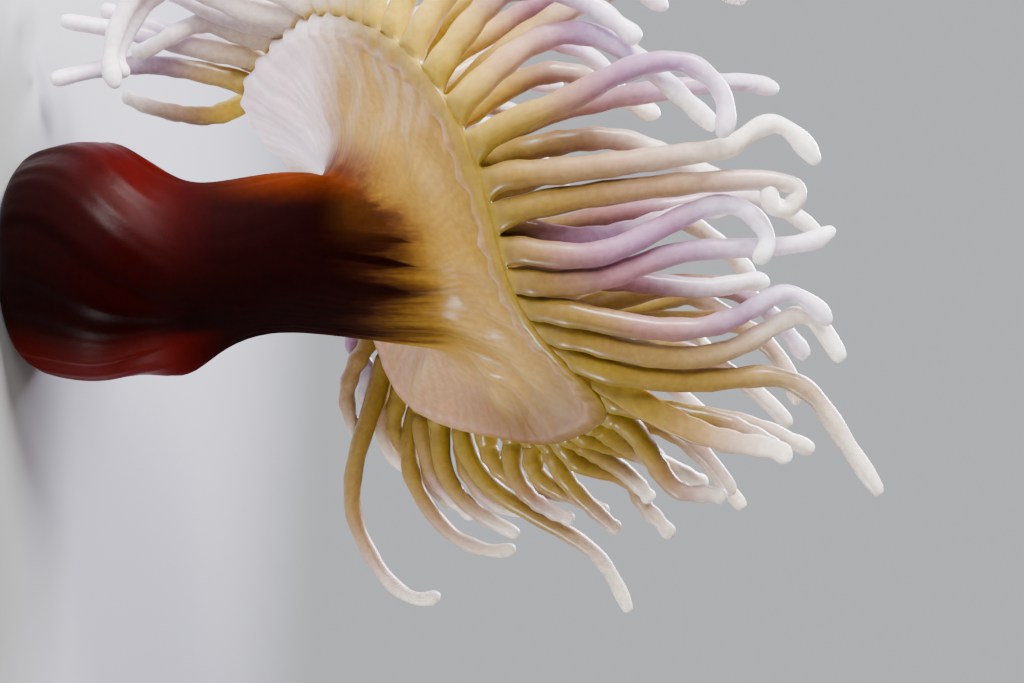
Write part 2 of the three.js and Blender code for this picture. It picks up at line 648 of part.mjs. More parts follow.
/** Tentacle: a five-sided lathe form bent along its centreline, its root ring in the disc. */
function tentacleSolid({ tier, path }, allowance = 0) {
  const places = ringPlaces(path);
  places[places.length - 1] = TENTACLE_STEPS - TIP_ROUNDING;
  const rings = [];
  let side = DISC_AXES.across.clone();
  places.forEach((place, k) => {
    const heading = k === 0 ? DISC_NORMAL.clone() : pathHeading(path, place);
    side = side.addScaledVector(heading, -side.dot(heading)).normalize();
    const centre = pathPoint(path, place);
    if (k === 0) centre.addScaledVector(DISC_NORMAL, -ROOT_DEPTH);
    const other = new THREE.Vector3().crossVectors(heading, side);
    const radius = FACET_FULLNESS * tentacleRadius(tier, place / TENTACLE_STEPS) + allowance;
    rings.push({ centre, side: side.clone(), other, radius });
  });
  const profile = [[0, 0]];
  rings.forEach((ring, k) => profile.push([1, k]));
  profile.push([0, rings.length]);
  return warpedRound(profile, TENTACLE_SIDES, (share, azimuth, level) => {
    if (level === rings.length) return path[TENTACLE_STEPS].clone();
    const ring = rings[Math.round(level)];
    const a = radians(azimuth);
    return ring.centre
      .clone()
      .addScaledVector(ring.side, share * ring.radius * Math.cos(a))
      .addScaledVector(ring.other, share * ring.radius * Math.sin(a));
  });
}

// ---------------------------------------------------------------- assembly

const anemone = new THREE.Group();

function addPart(name, geometry, color) {
  const material = new THREE.MeshStandardMaterial({ color, roughness: ROUGHNESS, metalness: 0 });
  const mesh = new THREE.Mesh(geometry, material);
  mesh.name = name;
  anemone.add(mesh);
}

/** Foot and column, parted into short lengths. */
function addStalk() {
  for (const { name, low, high, rings, color } of STALK_PARTS) {
    addPart(name, stalkPiece(low > 0 ? low + GAP : low, high, rings), color);
  }
}

/** Radius where the underside has a flare share. */
function flareRadius(share, azimuth) {
  const x = ((FLARE_SPAN * share + FLARE_START) ** 2 - FLARE_START ** 2) / FLARE_CURVE;
  return COLLAR_RADIUS + x * (rimAt(azimuth).radius - COLLAR_RADIUS);
}

/** Middle of the disc: the collar that flares from the column, the disc's floor and the mouth. */
function addDiscCore() {
  const collarProfile = [[0, 0], [1, 0], [1, 0.5], [1, 1], [0, 1]];
  const collar = warpedRound(collarProfile, CORE_SIDES, (share, azimuth, rise) => {
    const skin = flareRadius(COLLAR_TOP_SHARE * rise, azimuth);
    return corePoint(share * skin, azimuth, lerp(COLLAR_LEVEL + GAP, PARTING_LEVEL - GAP, rise));
  });
  addPart('collar', collar, ORANGE);
  const floorProfile = [[1, 0], [2, 0], [3, 0], [3, 1], [2, 1], [1, 1], [1, 0]];
  const floor = warpedRound(floorProfile, CORE_SIDES, (place, azimuth, rise) => {
    const outer = CORE_SHARE * rimAt(azimuth).radius - GAP / 2;
    const radii = [MOUTH_RADIUS, flareRadius(COLLAR_TOP_SHARE, azimuth) - GAP, outer];
    const radius = radii[Math.round(place) - 1];
    const low = place > 2.5 ? undersideLevel(radius, azimuth) : PARTING_LEVEL;
    return corePoint(radius, azimuth, lerp(low, oralLevel(radius, azimuth), rise));
  });
  addPart('oral_disc', floor, TAN);
  const mouthProfile = [[0, 0], [1, 0], [1, 1], [0.75, 1], [0.5, 1], [0.25, 1], [0, 1]];
  const mouth = warpedRound(mouthProfile, CORE_SIDES, (share, azimuth, rise) => {
    const radius = share * (MOUTH_RADIUS - GAP);
    return corePoint(radius, azimuth, lerp(PARTING_LEVEL, oralLevel(radius, azimuth), rise));
  });
  addPart('mouth', mouth, MAUVE);
}

/** A solid with room made for the tentacles beside it. */
function clearedOf(solid, tentacles) {
  return tentacles.reduce((rest, tentacle) => rest.subtract(toManifold(tentacleSolid(tentacle, GAP))), solid);
}

/** Sector of the disc with the tentacles that grow from it. */
function growSector(name, block, tentacles, color) {
  let solid = toManifold(block);
  tentacles.forEach((tentacle, index) => {
    solid = solid.add(clearedOf(toManifold(tentacleSolid(tentacle)), tentacles.slice(0, index)));
  });
  return { name, solid: largestShell(solid), tentacles, color };
}

/** Trims the later of two sectors where their tentacles would press together. */
function trimContact(first, second) {
  if (first.solid.intersect(second.solid).volume() === 0) return;
  second.solid = largestShell(clearedOf(second.solid.subtract(first.solid), first.tentacles));
}

function addCrown() {
  const tentacles = layTentacles();
  relaxTentacles(tentacles);
  const sectors = [];
  for (const { name, tiers, count, start, inner, outer, turnSteps, color } of CROWN_RINGS) {
    const width = 360 / count;
    for (let i = 0; i < count; i += 1) {
      const from = start + i * width;
      const block = discBlock(inner, outer, from, from + width, turnSteps);
      const grown = tentacles.filter(
        ({ tier, root }) => tiers.includes(tier) && root.azimuth > from && root.azimuth < from + width,
      );
      const label = `${name}_${String(i + 1).padStart(2, '0')}_with_tentacles`;
      sectors.push(growSector(label, block, grown, color));
    }
  }
  sectors.forEach((second, index) => {
    sectors.slice(0, index).forEach((first) => trimContact(first, second));
  });
  for (const { name, solid, color } of sectors) {
    addPart(name, fromManifold(solid), color);
  }
}

addStalk();
addDiscCore();
addCrown();

export default anemone;
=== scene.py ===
"""Giant Caribbean sea anemone, life size, as one skin of flesh.

The body is a foot, a column and a wide leaning disc with a wavy rim. Ninety-six tentacles in
four tiers grow from the mouth side of the disc. Lengths are in millimetres until the skin is
written, and in metres after that. Azimuths are in degrees round the body axis, from +X
towards +Y.
"""
import logging
import math
from dataclasses import dataclass, field
from enum import Enum

import bmesh
import bpy
import numpy as np
from mathutils import Matrix, Vector


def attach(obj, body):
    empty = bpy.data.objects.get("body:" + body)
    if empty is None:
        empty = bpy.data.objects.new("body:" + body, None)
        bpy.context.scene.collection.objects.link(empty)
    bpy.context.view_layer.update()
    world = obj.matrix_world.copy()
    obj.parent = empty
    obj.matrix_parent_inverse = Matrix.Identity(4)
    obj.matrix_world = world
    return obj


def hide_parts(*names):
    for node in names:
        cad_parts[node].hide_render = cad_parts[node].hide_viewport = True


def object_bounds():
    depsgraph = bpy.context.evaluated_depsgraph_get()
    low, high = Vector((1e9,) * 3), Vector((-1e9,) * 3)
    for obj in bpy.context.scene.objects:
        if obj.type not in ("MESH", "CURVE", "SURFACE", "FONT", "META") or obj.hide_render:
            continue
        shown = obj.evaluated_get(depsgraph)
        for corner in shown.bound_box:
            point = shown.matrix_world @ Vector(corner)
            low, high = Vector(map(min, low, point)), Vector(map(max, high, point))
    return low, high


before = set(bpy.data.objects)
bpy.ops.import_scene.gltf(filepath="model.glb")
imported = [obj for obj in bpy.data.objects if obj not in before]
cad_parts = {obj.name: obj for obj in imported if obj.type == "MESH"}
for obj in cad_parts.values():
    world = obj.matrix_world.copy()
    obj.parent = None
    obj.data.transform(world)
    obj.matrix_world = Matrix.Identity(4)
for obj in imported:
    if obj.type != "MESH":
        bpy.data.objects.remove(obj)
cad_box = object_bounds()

log = logging.getLogger("anemone")

MM = 0.001

# Faces round the body, and the angle that each takes; every face of the margin bears one tentacle
COLUMNS = 48
SLOT = 360.0 / COLUMNS


def smooth(x: np.ndarray) -> np.ndarray:
    """Ease from 0 to 1 as x goes from 0 to 1."""
    t = np.clip(x, 0.0, 1.0)
    return t * t * (3.0 - 2.0 * t)


def bell(x: np.ndarray) -> np.ndarray:
    """Bell curve that is 1 at zero."""
    return np.exp(-np.square(x))


def turn_between(a: np.ndarray, b: float) -> np.ndarray:
    """Signed difference of two azimuths in degrees, from -180 to 180."""
    return (a - b + 180.0) % 360.0 - 180.0


def unit(v: np.ndarray) -> np.ndarray:
    """Vector or rows of vectors, made one long."""
    return v / np.linalg.norm(v, axis=-1, keepdims=True)


# ---------------------------------------------------------------- body surface


@dataclass(frozen=True)
class Lobe:
    """Swelling of the foot.

    Attributes:
        azimuth: Where it points, in degrees.
        height: Height of its middle.
        width: Half width in degrees.
        tall: Half height.
        swell: How far it stands out.
    """

    azimuth: float
    height: float
    width: float
    tall: float
    swell: float


@dataclass(frozen=True)
class Fold:
    """Wave of the disc's rim.

    Attributes:
        azimuth: Where it is, in degrees.
        width: Half width in degrees.
        rise: How far the rim rises there.
        reach: How far the rim reaches out there.
    """

    azimuth: float
    width: float
    rise: float
    reach: float


@dataclass(frozen=True)
class Disc:
    """The leaning disc: its plane, its wavy rim, its underside and its mouth side."""

    lean: float = 39.0
    toward: float = 146.0
    centre: tuple[float, float, float] = (-7.0, 9.0, 106.0)
    radius: float = 66.0
    rim_level: float = -4.0
    crest_level: float = -1.0
    collar_radius: float = 26.0
    collar_level: float = -18.0
    collar_shift: float = 2.5
    lip: float = 3.2
    oral_top: float = 4.0
    oral_slope: float = 1.9
    flare_start: float = 0.55
    flare_span: float = 0.9
    rise_power: float = 2.2
    fall_power: float = 2.6
    cone_rise: float = 7.0
    cone_radius: float = 9.0
    cone_width: float = 7.0
    pit_depth: float = 6.0
    pit_width: float = 4.0
    folds: tuple[Fold, ...] = (
        Fold(50, 26, -13, 5),
        Fold(141, 22, -13, 6),
        Fold(283, 30, -9, -8),
        Fold(321, 13, 5, 7),
        Fold(235, 18, -2, 7),
    )

    def normal(self) -> np.ndarray:
        """Direction that the mouth faces.

        Returns:
            A vector of length one.
        """
        lean, toward = math.radians(self.lean), math.radians(self.toward)
        level = math.sin(lean)
        return np.array([level * math.cos(toward), level * math.sin(toward), math.cos(lean)])

    def axes(self, tilt: float = 1.0) -> tuple[np.ndarray, np.ndarray, np.ndarray]:
        """Axes of a cross-section.

        Args:
            tilt: 0 for an upright section, 1 for the disc's own plane.

        Returns:
            The axis at azimuth 0, the axis at azimuth 90 and the normal.
        """
        normal = unit((1.0 - tilt) * np.array([0.0, 0.0, 1.0]) + tilt * self.normal())
        across = np.array([1.0, 0.0, 0.0])
        across = unit(across - across.dot(normal) * normal)
        return across, np.cross(normal, across), normal

    def outwards(self, azimuth: float) -> np.ndarray:
        """Direction in the disc's plane that points away from its axis at an azimuth."""
        across, along, _ = self.axes()
        return math.cos(math.radians(azimuth)) * across + math.sin(math.radians(azimuth)) * along

    def rim(self, azimuth: np.ndarray) -> tuple[np.ndarray, np.ndarray]:
        """Reach and level of the rim.

        Args:
            azimuth: Azimuths in degrees.

        Returns:
            The rim's radius and its level at each azimuth.
        """
        radius = self.radius + 0.0 * azimuth
        level = self.rim_level + 0.0 * azimuth
        for fold in self.folds:
            share = bell(turn_between(azimuth, fold.azimuth) / fold.width)
            radius = radius + fold.reach * share
            level = level + fold.rise * share
        return radius, level

    def point(
        self, radius: np.ndarray, azimuth: np.ndarray, level: np.ndarray, shift: float = 0.0
    ) -> np.ndarray:
        """Points of the disc in the body's own frame.

        Args:
            radius: Distances from the disc's axis.
            azimuth: Azimuths in degrees.
            level: Levels along the disc's normal.
            shift: How far the points move against azimuth 0.

        Returns:
            One row per point.
        """
        across, along, normal = self.axes()
        a = np.radians(azimuth)
        out = np.stack([radius * np.cos(a) - shift, radius * np.sin(a), level + 0.0 * a], axis=-1)
        return np.array(self.centre) + out @ np.array([across, along, normal])

    def flare_curve(self) -> float:
        """Gain under the square root that the flare from collar to rim follows."""
        return (self.flare_start + self.flare_span) ** 2 - self.flare_start**2

    def flare(self, radius: np.ndarray, azimuth: np.ndarray) -> np.ndarray:
        """How far out points of the underside are.

        Args:
            radius: Distances from the disc's axis.
            azimuth: Azimuths in degrees.

        Returns:
            0 at the collar and 1 at the rim.
        """
        reach = self.rim(azimuth)[0]
        x = np.clip((radius - self.collar_radius) / (reach - self.collar_radius), 0.0, 1.0)
        root = np.sqrt(self.flare_start**2 + self.flare_curve() * x)
        return np.minimum((root - self.flare_start) / self.flare_span, 1.0)

    def underside(self, radius: np.ndarray, azimuth: np.ndarray) -> np.ndarray:
        """Level of the underside.

        Args:
            radius: Distances from the disc's axis.
            azimuth: Azimuths in degrees.

        Returns:
            The level at each, along the disc's normal.
        """
        u = self.flare(radius, azimuth)
        rise = 1.0 - (1.0 - u) ** self.rise_power
        drop = (self.rim(azimuth)[1] - self.crest_level) * u**self.fall_power
        return self.collar_level + (self.crest_level - self.collar_level) * rise + drop

    def oral(self, radius: np.ndarray, azimuth: np.ndarray) -> np.ndarray:
        """Level of the mouth side.

        Args:
            radius: Distances from the disc's axis.
            azimuth: Azimuths in degrees.

        Returns:
            The level at each, along the disc's normal.
        """
        reach, level = self.rim(azimuth)
        edge = level + self.lip
        inward = smooth((1.0 - radius / reach) * self.oral_slope)
        cone = self.cone_rise * bell((radius - self.cone_radius) / self.cone_width)
        pit = self.pit_depth * bell(radius / self.pit_width)
        return edge + (self.oral_top - edge) * inward + cone - pit

    def underside_point(self, u: float, azimuth: np.ndarray) -> np.ndarray:
        """Points of the underside.

        Args:
            u: How far out they are, from 0 at the collar to 1 at the rim.
            azimuth: Azimuths in degrees.

        Returns:
            One row per azimuth.
        """
        reach = self.rim(azimuth)[0]
        root = self.flare_start + self.flare_span * u
        share = (root * root - self.flare_start**2) / self.flare_curve()
        radius = self.collar_radius + (reach - self.collar_radius) * share
        shift = self.collar_shift * (1.0 - u) ** 2
        return self.point(radius, azimuth, self.underside(radius, azimuth), shift)

    def oral_point(self, inset: float, azimuth: np.ndarray) -> np.ndarray:
        """Points of the mouth side at a share of the rim's radius in from the rim."""
        radius = self.rim(azimuth)[0] * (1.0 - inset)
        return self.point(radius, azimuth, self.oral(radius, azimuth))


@dataclass(frozen=True)
class Stalk:
    """Foot and column, from the sole up to the collar."""

    sole_radius: float = 27.0
    swell: float = 4.5
    swell_height: float = 18.0
    top_start: float = 20.0
    shoulder: float = 46.0
    column_radius: float = 20.2
    collar_height: float = 92.0
    column_flare: float = 5.8
    flare_power: float = 2.6
    lean_power: float = 2.2
    sway: float = -2.8
    lobes: tuple[Lobe, ...] = (
        Lobe(5, 42, 36, 9, 10.0),
        Lobe(180, 24, 40, 10, 0.8),
        Lobe(90, 32, 30, 9, 3.5),
        Lobe(262, 30, 26, 8, 2.0),
    )

    def climb(self, height: float) -> float:
        """How far up the column a height is: 0 at the shoulder, 1 at the collar."""
        span = self.collar_height - self.shoulder
        return min(max((height - self.shoulder) / span, 0.0), 1.0)

    def radius(self, height: float, azimuth: np.ndarray) -> np.ndarray:
        """Radius of the stalk.

        Args:
            height: Height along the stalk.
            azimuth: Azimuths in degrees.

        Returns:
            The radius at each azimuth.
        """
        up = self.climb(height)
        swell = self.swell * math.sin(math.pi / 2.0 * min(max(height / self.swell_height, 0.0), 1.0))
        narrowing = self.sole_radius + self.swell - self.column_radius
        waist = narrowing * smooth((height - self.top_start) / (self.shoulder - self.top_start))
        radius = self.sole_radius + swell - waist + self.column_flare * up**self.flare_power
        radius = radius + 0.0 * azimuth
        for lobe in self.lobes:
            turn = bell(turn_between(azimuth, lobe.azimuth) / lobe.width)
            radius = radius + lobe.swell * turn * bell((height - lobe.height) / lobe.tall)
        return radius

    def point(self, disc: Disc, share: float, azimuth: np.ndarray, height: float) -> np.ndarray:
        """Points of the stalk.

        Args:
            disc: The disc that the column carries.
            share: 0 on the axis, 1 on the skin.
            azimuth: Azimuths in degrees.
            height: Height along the stalk.

        Returns:
            One row per azimuth.
        """
        up = self.climb(height)
        level = np.full(1, disc.collar_level)
        collar = disc.point(np.zeros(1), np.zeros(1), level, disc.collar_shift)[0]
        middle = self.shoulder + (collar[2] - self.shoulder) * up if up > 0.0 else height
        sway = self.sway * math.sin(math.pi * up)
        centre = np.array([collar[0] * up + sway, collar[1] * up * up, middle])
        across, along, _ = disc.axes(up**self.lean_power)
        a = np.radians(azimuth)[:, None]
        radius = (share * self.radius(height, azimuth))[:, None]
        return centre + radius * (np.cos(a) * across + np.sin(a) * along)


# ---------------------------------------------------------------- tentacle centrelines


@dataclass(frozen=True)
class Tier:
    """One ring of tentacles.

    Attributes:
        count: How many there are.
        turn: Azimuth of the first.
        inset: Share of the rim's radius that they stand in from the rim.
        radius: Radius at the root.
        length: Usual length.
        outward: How much the root leans outwards.
        blend: Length over which a root turns to its first bearing.
    """

    count: int
    turn: float
    inset: float
    radius: float
    length: float
    outward: float
    blend: float


@dataclass(frozen=True)
class Pose:
    """Pose of one tentacle.

    Attributes:
        tier: Its ring.
        slot: Its place in the ring.
        length: Its length.
        away: Turn towards +Y in degrees, at the root and at the tip.
        bearings: Headings in degrees at equal steps; 0 is +Z and 90 is +X.
    """

    tier: int
    slot: int
    length: float
    away: tuple[float, float]
    bearings: tuple[float, ...]


TIERS = (
    Tier(48, 3.75, 0.055, 3.45, 68.0, 1.5, 9.0),
    Tier(24, 0.0, 0.17, 3.5, 74.0, 0.75, 14.0),
    Tier(12, 7.5, 0.29, 3.45, 76.0, 0.35, 14.0),
    Tier(12, 22.5, 0.42, 3.45, 72.0, 0.12, 14.0),
)

POSES = (
    # near rim, from its top end to its bottom end
    Pose(0, 32, 76, (8, 0), (-48, -46, -30, 8, 38, 43, 42)),
    Pose(0, 33, 77, (-6, 0), (-36, -28, -16, -38, -18, 20, 62, 125)),
    Pose(1, 17, 66, (10, 8), (-50, -14, -14, 0, 20, 25, 20)),
    Pose(0, 34, 85, (0, 0), (-30, 0, -4, -10, -15, 2, -50, 40, 62)),
    Pose(0, 35, 89, (0, 0), (-35, -15, -10, -7, -5, -3, -5, 8, 165, 330)),
    Pose(0, 36, 78, (0, 0), (10, 22, -6, -22, -32, -28, 8, 60, 155)),
    Pose(1, 18, 60, (4, 10), (60, 25, 0, -10, -24, -10, 0)),
    Pose(0, 37, 80, (0, 0), (42, 2, -10, -26, -14, -2, 0, -8, -40)),
    Pose(1, 19, 66, (6, 8), (25, 2, 0, 8, 8, -18, 18)),
    Pose(0, 38, 80, (0, 0), (25, 19, 10, 4, -3, -18, -42, 30, 62)),
    Pose(0, 39, 83, (0, 0), (24, 17, 14, 5, -8, -25, -40, 52, 66)),
    Pose(1, 20, 78, (8, 3), (12, 6, 0, -4, -2, 35, 57, 85)),
    Pose(0, 40, 94, (0, 0), (60, 12, 8, 0, -10, 22, 60, 56, 54)),
    Pose(1, 21, 60, (6, 8), (50, 14, 6, -5, -2, 18)),
    Pose(0, 41, 56, (-12, -4), (50, 32, 26, 22, 0, 40)),
    Pose(0, 42, 48, (4, 4), (15, 14, 8, 10, 28, 25)),
    Pose(1, 22, 67, (8, 4), (20, 15, 13, 5, 12, 24, 26)),
    Pose(0, 43, 42, (0, -3), (30, 38, 62, 52, -5, 25)),
    Pose(0, 44, 30, (45, 20), (33, 33, 30, 35)),
    Pose(0, 45, 50, (35, 25), (20, 20, 25, 30)),
    Pose(0, 46, 36, (30, 10), (30, 30, 40, 58)),
    Pose(0, 47, 50, (10, 5), (100, 50, 10, 15, 70, 42, 60)),
    # hanging rim, round to the far side
    Pose(0, 0, 40, (15, 5), (80, 62, 50, 42, 42)),
    Pose(0, 1, 40, (5, 5), (100, 80, 30, 22, 35)),
    Pose(0, 2, 40, (5, 5), (105, 85, 55, 30, 20)),
    Pose(0, 3, 46, (0, 0), (115, 75, 40, 20, 5, 5)),
    Pose(0, 4, 84, (0, 0), (108, 75, 50, 32, 28, 28, 45, 63, 68)),
    Pose(0, 5, 52, (0, 0), (100, 86, 68, 45, 32, 28)),
    Pose(0, 6, 48, (0, 0), (88, 95, 75, 55, 40, 38)),
    Pose(0, 7, 50, (0, 0), (88, 90, 75, 50, 30)),
    Pose(1, 3, 60, (0, 0), (90, 88, 80, 72, 55, 20, -15)),
    Pose(1, 4, 90, (0, 0), (88, 90, 95, 88, 68, 50, 20, -18)),
    Pose(0, 8, 99, (-5, 0), (95, 97, 118, 107, 92, 68, 58, 35, -35)),
    Pose(1, 5, 72, (5, 5), (110, 105, 95, 85, 55, 28)),
    Pose(0, 9, 53, (0, 0), (135, 113, 108, 78, 84, 140)),
    Pose(0, 10, 44, (0, 0), (120, 60, 150, 40, 120, 90)),
    # rim that is folded back towards the foot
    Pose(0, 17, 22, (0, 0), (40, 70, 90)),
    Pose(0, 18, 42, (-10, -10), (110, 165, 187, 192, 215)),
    Pose(0, 19, 60, (-20, -30), (178, 190, 185, 172, 160, 155)),
    Pose(0, 20, 58, (-20, -25), (175, 190, 190, 186, 184)),
    Pose(1, 10, 60, (-8, -15), (185, 200, 200, 197, 197)),
    Pose(1, 11, 64, (-8, -10), (180, 190, 205, 210, 208)),
    Pose(0, 21, 46, (-10, -8), (172, 190, 210, 150, 148, 157)),
    Pose(0, 22, 60, (-5, -5), (160, 215, 250, 265, 272, 275)),
    Pose(0, 23, 70, (-8, -4), (168, 170, 195, 212, 192, 140, 120, 112, 30)),
    Pose(0, 24, 82, (-4, -4), (200, 203, 203, 198, 175, 130, 116, 95, 65)),
    # top of the rim
    Pose(0, 25, 75, (-4, 0), (230, 250, 262, 268, 275, 285)),
    Pose(0, 26, 80, (-4, 0), (250, 265, 272, 280, 290, 300)),
    Pose(0, 27, 85, (-4, 0), (262, 270, 275, 285, 300, 320)),
    Pose(0, 28, 85, (-4, 0), (268, 272, 280, 290, 305, 330)),
    Pose(0, 29, 85, (-4, 0), (275, 300, 318, 318, 330, 350)),
    Pose(0, 30, 85, (-4, 0), (290, 308, 315, 325, 345, 360)),
    Pose(0, 31, 62, (-4, 0), (300, 307, 310, 355, 380, 400, 405)),
    Pose(1, 16, 85, (8, 4), (-70, -40, -35, -20, 0, 20)),
    Pose(1, 12, 85, (0, 0), (250, 260, 265, 270, 275)),
    Pose(1, 13, 85, (0, 0), (265, 270, 280, 290, 300)),
    Pose(1, 14, 90, (0, 0), (275, 285, 300, 320, 350)),
    Pose(1, 15, 95, (0, 0), (300, 320, 330, 350, 380, 400)),
)


@dataclass
class Tentacle:
    """One tentacle: where it grows and the centreline it follows."""

    tier: int
    azimuth: float
    laid: np.ndarray
    path: np.ndarray


@dataclass
class Seeded:
    """Small repeatable source of numbers from 0 to 1: each state is the last one times a factor."""

    state: int
    factor: int = 16807
    modulus: int = 2147483647

    def next(self) -> float:
        """Next number."""
        self.state = (self.state * self.factor) % self.modulus
        return self.state / self.modulus

    def spread(self, least: float, gain: float) -> float:
        """Next number, from a least value to that value and a gain."""
        return least + gain * self.next()


@dataclass(frozen=True)
class Drift:
    """How a tentacle that no pose bends leaves its root, droops and waves.

    Attributes:
        lengths: Least share of the tier's length, and what is added to it at most.
        side_waves: Least number of sideways waves, and what is added to it at most.
        up_waves: The same for the waves at right angles to those.
        wave_root: Size of the waves at the root.
        wave_gain: Growth of the waves from root to tip.
        sideways: Weight of the sideways waves.
        upward: Weight of the other waves.
        hook_start: Share of the length at which the end starts to hook.
        hook_middle: Number from 0 to 1 that gives no hook.
        hook_strength: How sharply the end hooks.
        droop: Direction of the droop.
        release: How much of the root's heading is lost towards the tip.
        pull: How much of the droop is gained towards the tip.
        power: How late the droop comes.
    """

    lengths: tuple[float, float] = (0.85, 0.3)
    side_waves: tuple[float, float] = (0.96, 1.28)
    up_waves: tuple[float, float] = (0.72, 0.96)
    wave_root: float = 0.15
    wave_gain: float = 0.55
    sideways: float = 0.55
    upward: float = 0.45
    hook_start: float = 0.72
    hook_middle: float = 0.35
    hook_strength: float = 4.0
    droop: tuple[float, float, float] = (0.85, 0.15, 0.4)
    release: float = 0.62
    pull: float = 0.75
    power: float = 1.2


@dataclass
class Crown:
    """All the tentacles: posed, drooping where nothing poses them, and kept clear of each other.

    Attributes:
        disc: The disc that they grow from.
        drift: How those without a pose hang.
        seed: Start of the random numbers.
        steps: Steps of a centreline.
        taper: Share of the radius that is lost from root to tip.
        clearance: Gap between two tentacles.
        floor_clearance: Gap to the floor.
        disc_clearance: Gap to the disc.
        rounds: Rounds of parting.
        watch: Distance within which two points are watched.
        relist: Rounds between two lists of the points to watch.
        rooted: Steps at the root that stay where they are.
        part_push: Share of an overlap that one round undoes between tentacles.
        disc_push: Share of an overlap that one round undoes at the disc.
        under_share: Share of the rim's radius outside which a point may go under the disc.
        evening: Share of each move that is evened out along the tentacle.
        fade: Share of all moves that is kept from round to round.
        tentacles: The tentacles.
    """

    disc: Disc
    drift: Drift = Drift()
    seed: int = 20261
    steps: int = 24
    taper: float = 0.42
    clearance: float = 0.8
    floor_clearance: float = 0.6
    disc_clearance: float = 0.5
    rounds: int = 90
    watch: float = 14.0
    relist: int = 10
    rooted: int = 2
    part_push: float = 1.2
    disc_push: float = 0.5
    under_share: float = 0.9
    evening: float = 0.35
    fade: float = 0.995
    tentacles: list[Tentacle] = field(default_factory=list)

    def middles(self) -> np.ndarray:
        """Shares of the length at the middle of each step."""
        return (np.arange(self.steps) + 0.5) / self.steps

    def radius(self, tier: int, share: np.ndarray) -> np.ndarray:
        """Radius of a tentacle at a share of its length."""
        return TIERS[tier].radius * (1.0 - self.taper * share)

    def root(self, tier: int, slot: int) -> tuple[float, np.ndarray, np.ndarray]:
        """Root of a tentacle.

        Args:
            tier: Its ring.
            slot: Its place in the ring.

        Returns:
            Its azimuth, its point on the mouth side and the heading it leaves with.
        """
        ring = TIERS[tier]
        azimuth = ring.turn + slot * 360.0 / ring.count
        point = self.disc.oral_point(ring.inset, np.array([azimuth]))[0]
        heading = self.disc.normal() + ring.outward * self.disc.outwards(azimuth)
        return azimuth, point, unit(heading)

    def posed(self, point: np.ndarray, heading: np.ndarray, pose: Pose) -> np.ndarray:
        """Centreline that follows a pose's bearings.

        Args:
            point: The root.
            heading: Heading at the root.
            pose: The pose.

        Returns:
            One row per point, root first.
        """
        step = pose.length / self.steps
        t = self.middles()
        places = np.linspace(0.0, 1.0, len(pose.bearings))
        bearing = np.radians(np.interp(t, places, pose.bearings))
        away = np.radians(np.interp(t, (0.0, 1.0), pose.away))
        level = np.cos(away)
        course = np.stack([np.sin(bearing) * level, np.sin(away), np.cos(bearing) * level], axis=-1)
        share = smooth((np.arange(self.steps) + 0.5) * step / TIERS[pose.tier].blend)[:, None]
        course = unit((1.0 - share) * heading + share * course)
        return np.vstack([point, point + step * np.cumsum(course, axis=0)])

    def free(self, point: np.ndarray, heading: np.ndarray, tier: int, random: Seeded) -> np.ndarray:
        """Centreline that leaves along the root's heading, droops and waves.

        Args:
            point: The root.
            heading: Heading at the root.
            tier: The tentacle's ring.
            random: Source of its own wave.

        Returns:
            One row per point, root first.
        """
        drift = self.drift
        length = TIERS[tier].length * random.spread(*drift.lengths)
        side_phase = random.next() * 2.0 * math.pi
        up_phase = random.next() * 2.0 * math.pi
        side_waves = random.spread(*drift.side_waves)
        up_waves = random.spread(*drift.up_waves)
        hook = (random.next() - drift.hook_middle) * drift.hook_strength
        droop = unit(np.array(drift.droop))
        side = unit(np.cross(heading, droop))
        up = unit(np.cross(side, heading))
        t = self.middles()[:, None]
        wave = drift.wave_root + drift.wave_gain * t
        turn = t**drift.power
        curl = hook * np.maximum(0.0, t - drift.hook_start)
        sideways = drift.sideways * np.sin(side_waves * 2.0 * math.pi * t + side_phase)
        upward = drift.upward * np.sin(up_waves * 2.0 * math.pi * t + up_phase)
        course = heading * (1.0 - drift.release * turn) + droop * drift.pull * turn
        course = course + side * wave * sideways + up * (wave * upward + curl)
        return np.vstack([point, point + length / self.steps * np.cumsum(unit(course), axis=0)])

    def lay(self) -> None:
        """Give every tentacle its first centreline."""
        random = Seeded(self.seed)
        poses = {(pose.tier, pose.slot): pose for pose in POSES}
        for tier, ring in enumerate(TIERS):
            for slot in range(ring.count):
                azimuth, point, heading = self.root(tier, slot)
                pose = poses.get((tier, slot))
                if pose:
                    laid = self.posed(point, heading, pose)
                else:
                    laid = self.free(point, heading, tier, random)
                self.tentacles.append(Tentacle(tier, azimuth, laid, laid.copy()))

    def neighbours(self, flat: np.ndarray, owner: np.ndarray) -> tuple[np.ndarray, np.ndarray]:
        """Pairs of points of different tentacles that are near enough to meet soon.

        Args:
            flat: All centreline points.
            owner: The tentacle of each.

        Returns:
            The indices of the first and of the second of each pair.
        """
        square = (flat**2).sum(1)
        apart = square[:, None] + square[None] - 2.0 * flat @ flat.T
        return np.nonzero((apart < self.watch**2) & (owner[:, None] < owner[None]))

